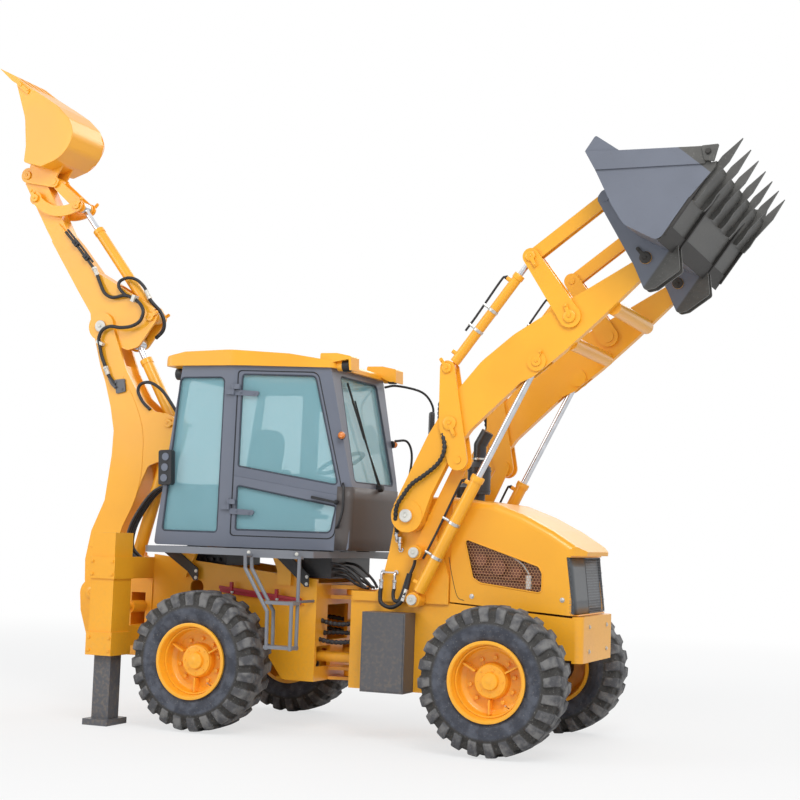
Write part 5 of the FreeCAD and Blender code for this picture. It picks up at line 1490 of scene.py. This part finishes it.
@dataclass
class Backhoe(Assembly):
    """Pin ends, pipes, hoses and seams of the boom, dipper and digging bucket."""

    title: str = "backhoe"

    def pins(self) -> None:
        """Caps on the boom, dipper and bucket pins."""
        for name, joint, body, reach, radius, finish, angle in (
                ("boom_foot", "boom_lower", "kingpost", 0.150, 0.052, Finish.YELLOW, 30),
                ("boom_ram_foot", "boom_barrel_turn", "kingpost", 0.150, 0.042, Finish.YELLOW, 0),
                ("dipper", "dipper_crowd", "boom", 0.118, 0.050, Finish.CAP, None),
                ("dipper_ram_foot", "dipper_barrel_turn", "boom", 0.118, 0.038, Finish.YELLOW, 90),
                ("digger_ram_foot", "digger_barrel_turn", "dipper", 0.092, 0.036,
                 Finish.YELLOW, 60),
                ("digger_lever", "digger_lever_turn", "dipper", 0.126, 0.036, Finish.YELLOW, -30),
                ("digger", "digger_curl", "dipper", 0.096, 0.038, Finish.YELLOW, None),
                ("digger_joint", "digger_link_turn", "digger_lever", 0.122, 0.034,
                 Finish.YELLOW, 45)):
            cap = PinEnd(radius, 0.012, angle).shape(side_point(joint, -reach), -1)
            self.piece("pin_end_" + name, cap.twin(), body, finish, 0.001)

    def dipper_lines(self) -> None:
        """Steel pipe with clamps on the dipper, then hoses over the elbow to the boom."""
        y = -0.102
        lines = tube(at_y(y, (-3.146, 4.107), (-2.995, 3.949), (-2.825, 3.760)), 0.013, 10)
        lines += tube(at_y(y, (-3.126, 4.125), (-2.975, 3.967), (-2.850, 3.828)), 0.010, 10)
        self.piece("dipper_pipes", lines, "dipper", Finish.IRON)
        clamp = Shape.empty()
        for x, z in ((-3.030, 4.000), (-2.915, 3.872)):
            c = block(-0.030, 0.030, -0.125, -0.084, -0.022, 0.022).turned(46).moved(x, 0, z)
            clamp += c + bolts([(x, -0.125, z)], RIGHT, 0.012)
        self.piece("dipper_pipe_clamps", clamp, "dipper", Finish.PLASTIC, 0.003)
        run = [(-2.825, y, 3.756), (-2.800, y, 3.715), (-2.761, -0.108, 3.640),
               (-2.705, -0.112, 3.548), (-2.620, -0.114, 3.508), (-2.501, -0.114, 3.522),
               (-2.410, -0.114, 3.492), (-2.337, -0.120, 3.440), (-2.300, -0.130, 3.370),
               (-2.325, -0.140, 3.290), (-2.400, -0.148, 3.248), (-2.504, -0.152, 3.238),
               (-2.610, -0.150, 3.250), (-2.690, -0.146, 3.218), (-2.722, -0.142, 3.150),
               (-2.712, -0.138, 3.087), (-2.690, -0.134, 3.000), (-2.660, -0.132, 2.930),
               (-2.635, -0.130, 2.870), (-2.600, -0.128, 2.810), (-2.540, -0.125, 2.745)]
        self.piece("elbow_hose_long", hose(run, 0.015), "dipper", Finish.HOSE,
                   bend=("boom", run[7], run[13]))
        loop = [(-2.315, -0.050, 3.540), (-2.345, -0.060, 3.600), (-2.410, -0.075, 3.660),
                (-2.490, -0.085, 3.680), (-2.560, -0.098, 3.655), (-2.572, -0.108, 3.610),
                (-2.535, -0.114, 3.560), (-2.472, -0.116, 3.512)]
        self.piece("dipper_ram_hose", hose(loop, 0.014), "dipper", Finish.HOSE)
        tail = [(-2.300, -0.040, 3.500), (-2.262, -0.030, 3.455), (-2.195, -0.020, 3.385),
                (-2.160, -0.010, 3.300), (-2.175, 0.0, 3.225), (-2.250, 0.02, 3.165)]
        self.piece("dipper_tail_hose", hose(tail, 0.016), "dipper", Finish.HOSE)
        white = Shape.empty()
        for p, q in (((-2.825, y, 3.760), (-2.800, y, 3.715)),
                     ((-2.302, -0.045, 3.518), (-2.345, -0.060, 3.600))):
            white += ferrule(np.array(p), np.array(q), 0.015, 0.06)
        white += block(-0.016, 0.016, -0.150, -0.084, -0.03, 0.03).turned(20).moved(-2.40, 0, 3.49)
        self.piece("dipper_hose_ends", white, "dipper", Finish.CAP, 0.003)
        low = ferrule([-2.640, -0.131, 2.885], [-2.620, -0.13, 2.84], 0.016, 0.055)
        low += block(-0.035, 0.035, -0.152, -0.110, -0.013, 0.013).turned(25).moved(
            -2.712, 0, 3.110)
        self.piece("boom_hose_ends", low, "boom", Finish.CAP, 0.003)
        tee = plate([(-2.555, 2.790, .01), (-2.455, 2.800, .01), (-2.440, 2.690, .01),
                     (-2.530, 2.670, .01)], -0.128, -0.110)
        tee += pipe([(-2.600, -0.13, 2.80), (-2.570, -0.137, 2.755), (-2.530, -0.137, 2.72)], 0.013)
        tee += bolts([(-2.535, -0.128, 2.770), (-2.470, -0.128, 2.710)], RIGHT, 0.011)
        self.piece("boom_hose_block", tee, "boom", Finish.LEG_GREY, 0.003)

    def boom_lines(self) -> None:
        """Hose loop at the dipper ram, the bundle behind the cab, weld beads on the boom."""
        loop = [(-1.900, -0.09, 2.450), (-1.960, -0.11, 2.545), (-2.071, -0.125, 2.690),
                (-2.190, -0.130, 2.762), (-2.285, -0.130, 2.752), (-2.312, -0.128, 2.690),
                (-2.262, -0.125, 2.600), (-2.190, -0.122, 2.535)]
        self.piece("boom_hose_loop", hose(loop, 0.014), "boom", Finish.HOSE)
        weld = pipe(at_y(-BOOM_FACE, (-2.410, 1.552), (-2.314, 1.749), (-2.262, 1.937),
                         (-2.250, 2.107), (-2.262, 2.361), (-2.350, 2.600), (-2.480, 2.815)),
                    0.0035, 6)
        weld += tube(at_y(-BOOM_FACE, (-2.745, 1.360), (-2.450, 1.352)), 0.003, 6)
        self.piece("boom_welds", weld.twin(), "boom", Finish.YELLOW)
        for k, (dy, dx) in enumerate(((0.0, 0.0), (0.035, 0.03), (0.07, -0.02), (-0.035, 0.02))):
            run = [(-2.215 + dx, -0.165 + dy, 1.270), (-2.300 + dx, -0.190 + dy, 1.370),
                   (-2.290 + dx, -0.190 + dy, 1.520), (-2.220 + dx, -0.170 + dy, 1.680),
                   (-2.110 + dx, -0.150 + dy, 1.830), (-1.985 + dx, -0.140 + dy, 1.900)]
            self.piece(f"boom_feed_hose_{k + 1}", hose(run, 0.014), "kingpost", Finish.HOSE)

    def digger(self) -> None:
        """Side cutters with their bolts, and weld seams, on the digging bucket."""
        x, z = -3.6100, 5.440
        d = np.array([-0.832, 0.555])
        cheek = plate([(-3.640, 5.420, .008), (-3.520, 5.330, .008), (-3.500, 5.362, .008),
                       (-3.618, 5.458, .008)], -0.262, -0.250)
        self.piece("digger_side_cutters", cheek.twin(), "digger_bucket", Finish.YELLOW, 0.002)
        rows = np.array([(x + d[0] * s, -0.262, z + d[1] * s - 0.01) for s in (-0.11, -0.02)])
        self.piece("digger_cutter_bolts", bolts(rows, RIGHT, 0.012).twin(),
                   "digger_bucket", Finish.YELLOW)
        seam = pipe(at_y(-DIGGER_FACE, (-3.198, 4.722), (-3.115, 4.778), (-3.045, 4.880),
                         (-3.030, 4.965), (-3.085, 5.085), (-3.200, 5.198)), 0.003, 6, 5)
        self.piece("digger_welds", seam.twin(), "digger_bucket", Finish.YELLOW)

    def build(self) -> None:
        """Dress the backhoe."""
        self.pins()
        self.dipper_lines()
        self.boom_lines()
        self.digger()


@dataclass
class Chassis(Assembly):
    """Hoses over the articulation, brackets, lock bar, valves, collar bolts and platform trim."""

    title: str = "chassis"

    def articulation(self) -> None:
        """Ribbed hoses that run between the two frames, and the fan of hoses at the valves."""
        for k, (y, z, sag) in enumerate(((-0.300, 0.860, 0.02), (-0.250, 0.760, -0.01),
                                         (-0.330, 0.715, 0.015), (0.280, 0.84, 0.02),
                                         (0.32, 0.74, 0.01))):
            run = [(-0.640, y * 0.7, z + 0.03), (-0.520, y * 0.9, z + 0.01), (-0.440, y, z),
                   (-0.340, y * 1.02, z - sag), (-0.230, y, z - sag), (-0.130, y * 0.9, z),
                   (-0.020, y * 0.7, z + 0.02)]
            self.piece(f"frame_hose_{k + 1}", hose(run, 0.017, True, 5), "rear_body",
                       Finish.HOSE, smooth_angle=50, bend=("front_body", run[2], run[5]))
        fan = Shape.empty()
        for k in range(6):
            y, drop = -0.40 + 0.062 * k, 0.024 * ((k * 2) % 5)
            fan += hose([(-0.330, y, 1.310 - drop), (-0.250, y * 0.96, 1.298 - drop),
                         (-0.170, y * 0.92, 1.250 - drop), (-0.100, y * 0.9, 1.185 - drop * 0.6),
                         (-0.060, y * 0.88, 1.125)], 0.011)
        self.piece("valve_hose_fan", fan, "rear_body", Finish.HOSE, smooth_angle=50,
                   bend=("front_body", (-0.330, 0.0, 1.300), (-0.070, 0.0, 1.130)))

    def side_bars(self) -> None:
        """Red lock bars and the brackets of the cab, with their bolts."""
        bar = plate([(-1.262, 1.047), (-0.540, 0.9785), (-0.540, 1.0115), (-1.262, 1.0795)],
                    -0.462, -FLANK)
        bar += plate([(-1.262, 1.074), (-0.540, 1.005), (-0.540, 1.030), (-1.262, 1.098)],
                     -0.478, -FLANK)
        for x in (-1.150, -0.750):
            z = 1.060 - (x + 1.15) * 0.095
            bar += block(x - 0.012, x + 0.012, -0.490, -0.462, z, z + 0.070)
        self.piece("lock_bars", bar.twin(), "rear_body", Finish.RED, 0.002)
        studs = bolts([(-1.149, -0.463, 1.052), (-0.750, -0.463, 1.014)], RIGHT, 0.012)
        self.piece("lock_bar_bolts", studs.twin(), "rear_body", Finish.ZINC)
        bracket = plate([(-1.790, 1.350), (-1.640, 1.350), (-1.462, 1.225), (-1.462, 1.130),
                         (-1.500, 1.130), (-1.560, 1.200)], -0.472, -0.462)
        bracket += plate([(-0.780, 1.350), (-0.640, 1.350), (-0.478, 1.215), (-0.478, 1.120),
                          (-0.512, 1.120), (-0.590, 1.190)], -0.472, -0.462)
        self.piece("cab_brackets", bracket.twin(), "rear_body", Finish.BLACK, 0.002)
        heads = bolts(at_y(-0.472, (-1.480, 1.205), (-1.480, 1.152), (-0.496, 1.198),
                           (-0.496, 1.142)), RIGHT, 0.012)
        self.piece("bracket_bolts", heads.twin(), "rear_body", Finish.ZINC)

    def platforms(self) -> None:
        """Bolts on the platforms' edges and raised tread on their tops."""
        edge = bolts([(-0.790, -0.9005, 1.376), (-0.392, -0.885, 1.376)], RIGHT, 0.013, 0.4)
        self.piece("platform_bolts", edge.twin(), "rear_body", Finish.CAP)
        xs, ys = np.meshgrid(np.arange(-1.60, -0.45, 0.055), np.arange(-0.875, -0.79, 0.04))
        spots = np.column_stack([xs.ravel(), ys.ravel(), np.full(xs.size, 1.400)])
        lug = prism([(-0.016, -0.003), (0.016, -0.003), (0.016, 0.003), (-0.016, 0.003)],
                    lambda a, b, s: np.column_stack([a * (1 - 0.2 * s), b * (1 - 0.4 * s),
                                                     np.full(4, 0.003 * s)]))
        turn = np.where((np.arange(xs.size) % 2)[:, None, None] > 0, rotation(45, "z"),
                        rotation(-45, "z"))
        tread = lug.copies(spots, turn)
        self.piece("platform_tread", tread.twin(), "rear_body", Finish.GREY)

    def cases(self) -> None:
        """Side box cases and the valve bank."""
        case = block(0.065, 0.415, -0.660, -FLANK, 0.370, 0.965)
        case += block(0.077, 0.403, -0.665, -0.6605, 0.384, 0.951)
        box = self.piece("side_box_cases", case.twin(), "front_body", Finish.BOX_GREY, 0.003)
        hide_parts("side_boxes")
        valve = block(-1.700, -1.300, -0.300, 0.300, 1.255, 1.345)
        for k in range(6):
            x = -1.66 + k * 0.06
            valve += tube([(x, -0.33, 1.30), (x, -0.28, 1.30)], 0.016, 8)
        self.piece("valve_bank", valve, "rear_body", Finish.BLACK, 0.004)

    def build(self) -> None:
        """Dress the chassis."""
        self.articulation()
        self.side_bars()
        self.platforms()
        self.cases()
        collar = bolts([(x, -1.062, z) for z in (0.575, 0.675, 1.165, 1.265)
                        for x in (-2.070, -1.890)], RIGHT, 0.014)
        self.piece("stabilizer_collar_bolts", collar.twin(), "rear_body", Finish.YELLOW)
        front = bolts([(1.716, y, z) for y in (-0.25, 0.25) for z in (0.74, 0.92)], AHEAD,
                      0.015)
        self.piece("bumper_bolts", front, "front_body", Finish.ZINC)


# ---- studio --------------------------------------------------------------------------------------
@dataclass
class Studio:
    """Floor, backdrop, lamps and camera."""

    eye: tuple = (5.184, -11.513, 1.538)
    turn: float = 22.078
    rise: float = -5.0076
    roll: float = 1.997
    lens: float = 69.96
    film: float = 36.0
    world_light: float = 0.62
    target: tuple = (0.3, 0.0, 2.0)
    lamp_size: float = 6.0

    def camera(self) -> None:
        """Camera at a turn round the machine, looking slightly up, with a small roll."""
        a, e, r = (math.radians(v) for v in (self.turn, self.rise, self.roll))
        back = np.array([math.sin(a) * math.cos(e), -math.cos(a) * math.cos(e), math.sin(e)])
        right = np.array([math.cos(a), math.sin(a), 0.0])
        up = np.cross(back, right)
        columns = np.column_stack([right * math.cos(r) + up * math.sin(r),
                                   up * math.cos(r) - right * math.sin(r), back])
        data = bpy.data.cameras.new("camera")
        data.lens, data.sensor_width = self.lens, self.film
        data.clip_start, data.clip_end = 0.1, 400.0
        bpy.context.scene.camera = in_scene("camera", data, columns, self.eye)

    def world(self) -> None:
        """Even light on the object; white where it is seen directly, in gloss or through glass."""
        g = Graph(bpy.data.worlds.new("studio"), "ShaderNodeOutputWorld")
        ambient = g.value("ShaderNodeBackground", {}, {"Color": (0.96, 0.98, 1.0),
                                                       "Strength": self.world_light})
        white = g.value("ShaderNodeBackground", {}, {"Color": (1.0, 1.0, 1.0)})
        seen = g.rays("Camera", "Glossy", "Transmission")
        g.finish(g.add("ShaderNodeMixShader", {}, {0: seen, 1: ambient, 2: white}))
        bpy.context.scene.world = g.owner

    def floor(self) -> None:
        """Round pale floor: shaded near the machine, white with distance."""
        steps, sunk = 96, -0.0005
        angle = np.linspace(0, 2 * np.pi, steps, endpoint=False)[None]
        radius = np.array([0.001, 3, 6, 9, 14, 24, 60, 160.0])[:, None]
        pts = np.stack([radius * np.cos(angle), radius * np.sin(angle),
                        np.full((len(radius), steps), sunk)], -1)
        shape = grid(pts, wrap_v=True)
        mesh = bpy.data.meshes.new("studio_floor")
        mesh.from_pydata(shape.points.tolist(), [], shape.faces[0].tolist())
        g = Graph(bpy.data.materials.new("studio_floor"))
        far = g.value("ShaderNodeVectorMath", {"operation": "LENGTH"}, {0: g.place()},
                      "Value").step(5.0, 16.0)
        glow = g.value("ShaderNodeEmission", {}, {"Color": (1.0, 1.0, 1.0), "Strength": 1.0})
        matt = g.value("ShaderNodeBsdfDiffuse", {}, {"Color": (0.80, 0.80, 0.80)})
        white = g.rays("Camera", "Transmission") * (far * 0.32 + 0.68)
        g.finish(g.add("ShaderNodeMixShader", {}, {0: white, 1: matt, 2: glow}))
        mesh.materials.append(g.owner)
        in_scene("studio_floor", mesh)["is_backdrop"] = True

    def lamp(self, name: str, place: tuple, power: float) -> None:
        """Square area lamp at place, facing the machine."""
        data = bpy.data.lights.new(name, "AREA")
        data.size, data.energy = self.lamp_size, power
        in_scene(name, data, basis(np.array(place, float) - self.target), place)

    def build(self) -> None:
        """Set up the studio."""
        bpy.context.scene.view_settings.view_transform = "Standard"
        self.camera()
        self.world()
        self.floor()
        self.lamp("key", (6.0, -9.0, 11.0), 900.0)
        self.lamp("fill", (-9.0, -9.0, 6.0), 320.0)
        self.lamp("back", (1.0, 10.0, 9.0), 350.0)


def main() -> None:
    """Build every assembly in order."""
    logging.basicConfig(level=logging.INFO, format="%(message)s")
    Studio().build()
    assemblies: list[Assembly] = [Frame()]
    assemblies += [Wheel(end, hand) for end in ("front", "rear") for hand in ("right", "left")]
    assemblies += [LoaderLinkage(), LoaderBucket(), Hood(), Cab(), Seat(), Backhoe(), Chassis()]
    for assembly in assemblies:
        assembly.build()
    {"cad": CAD_BOX, "scene": [list(corner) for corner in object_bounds()]}


if __name__ == "__main__":
    main()
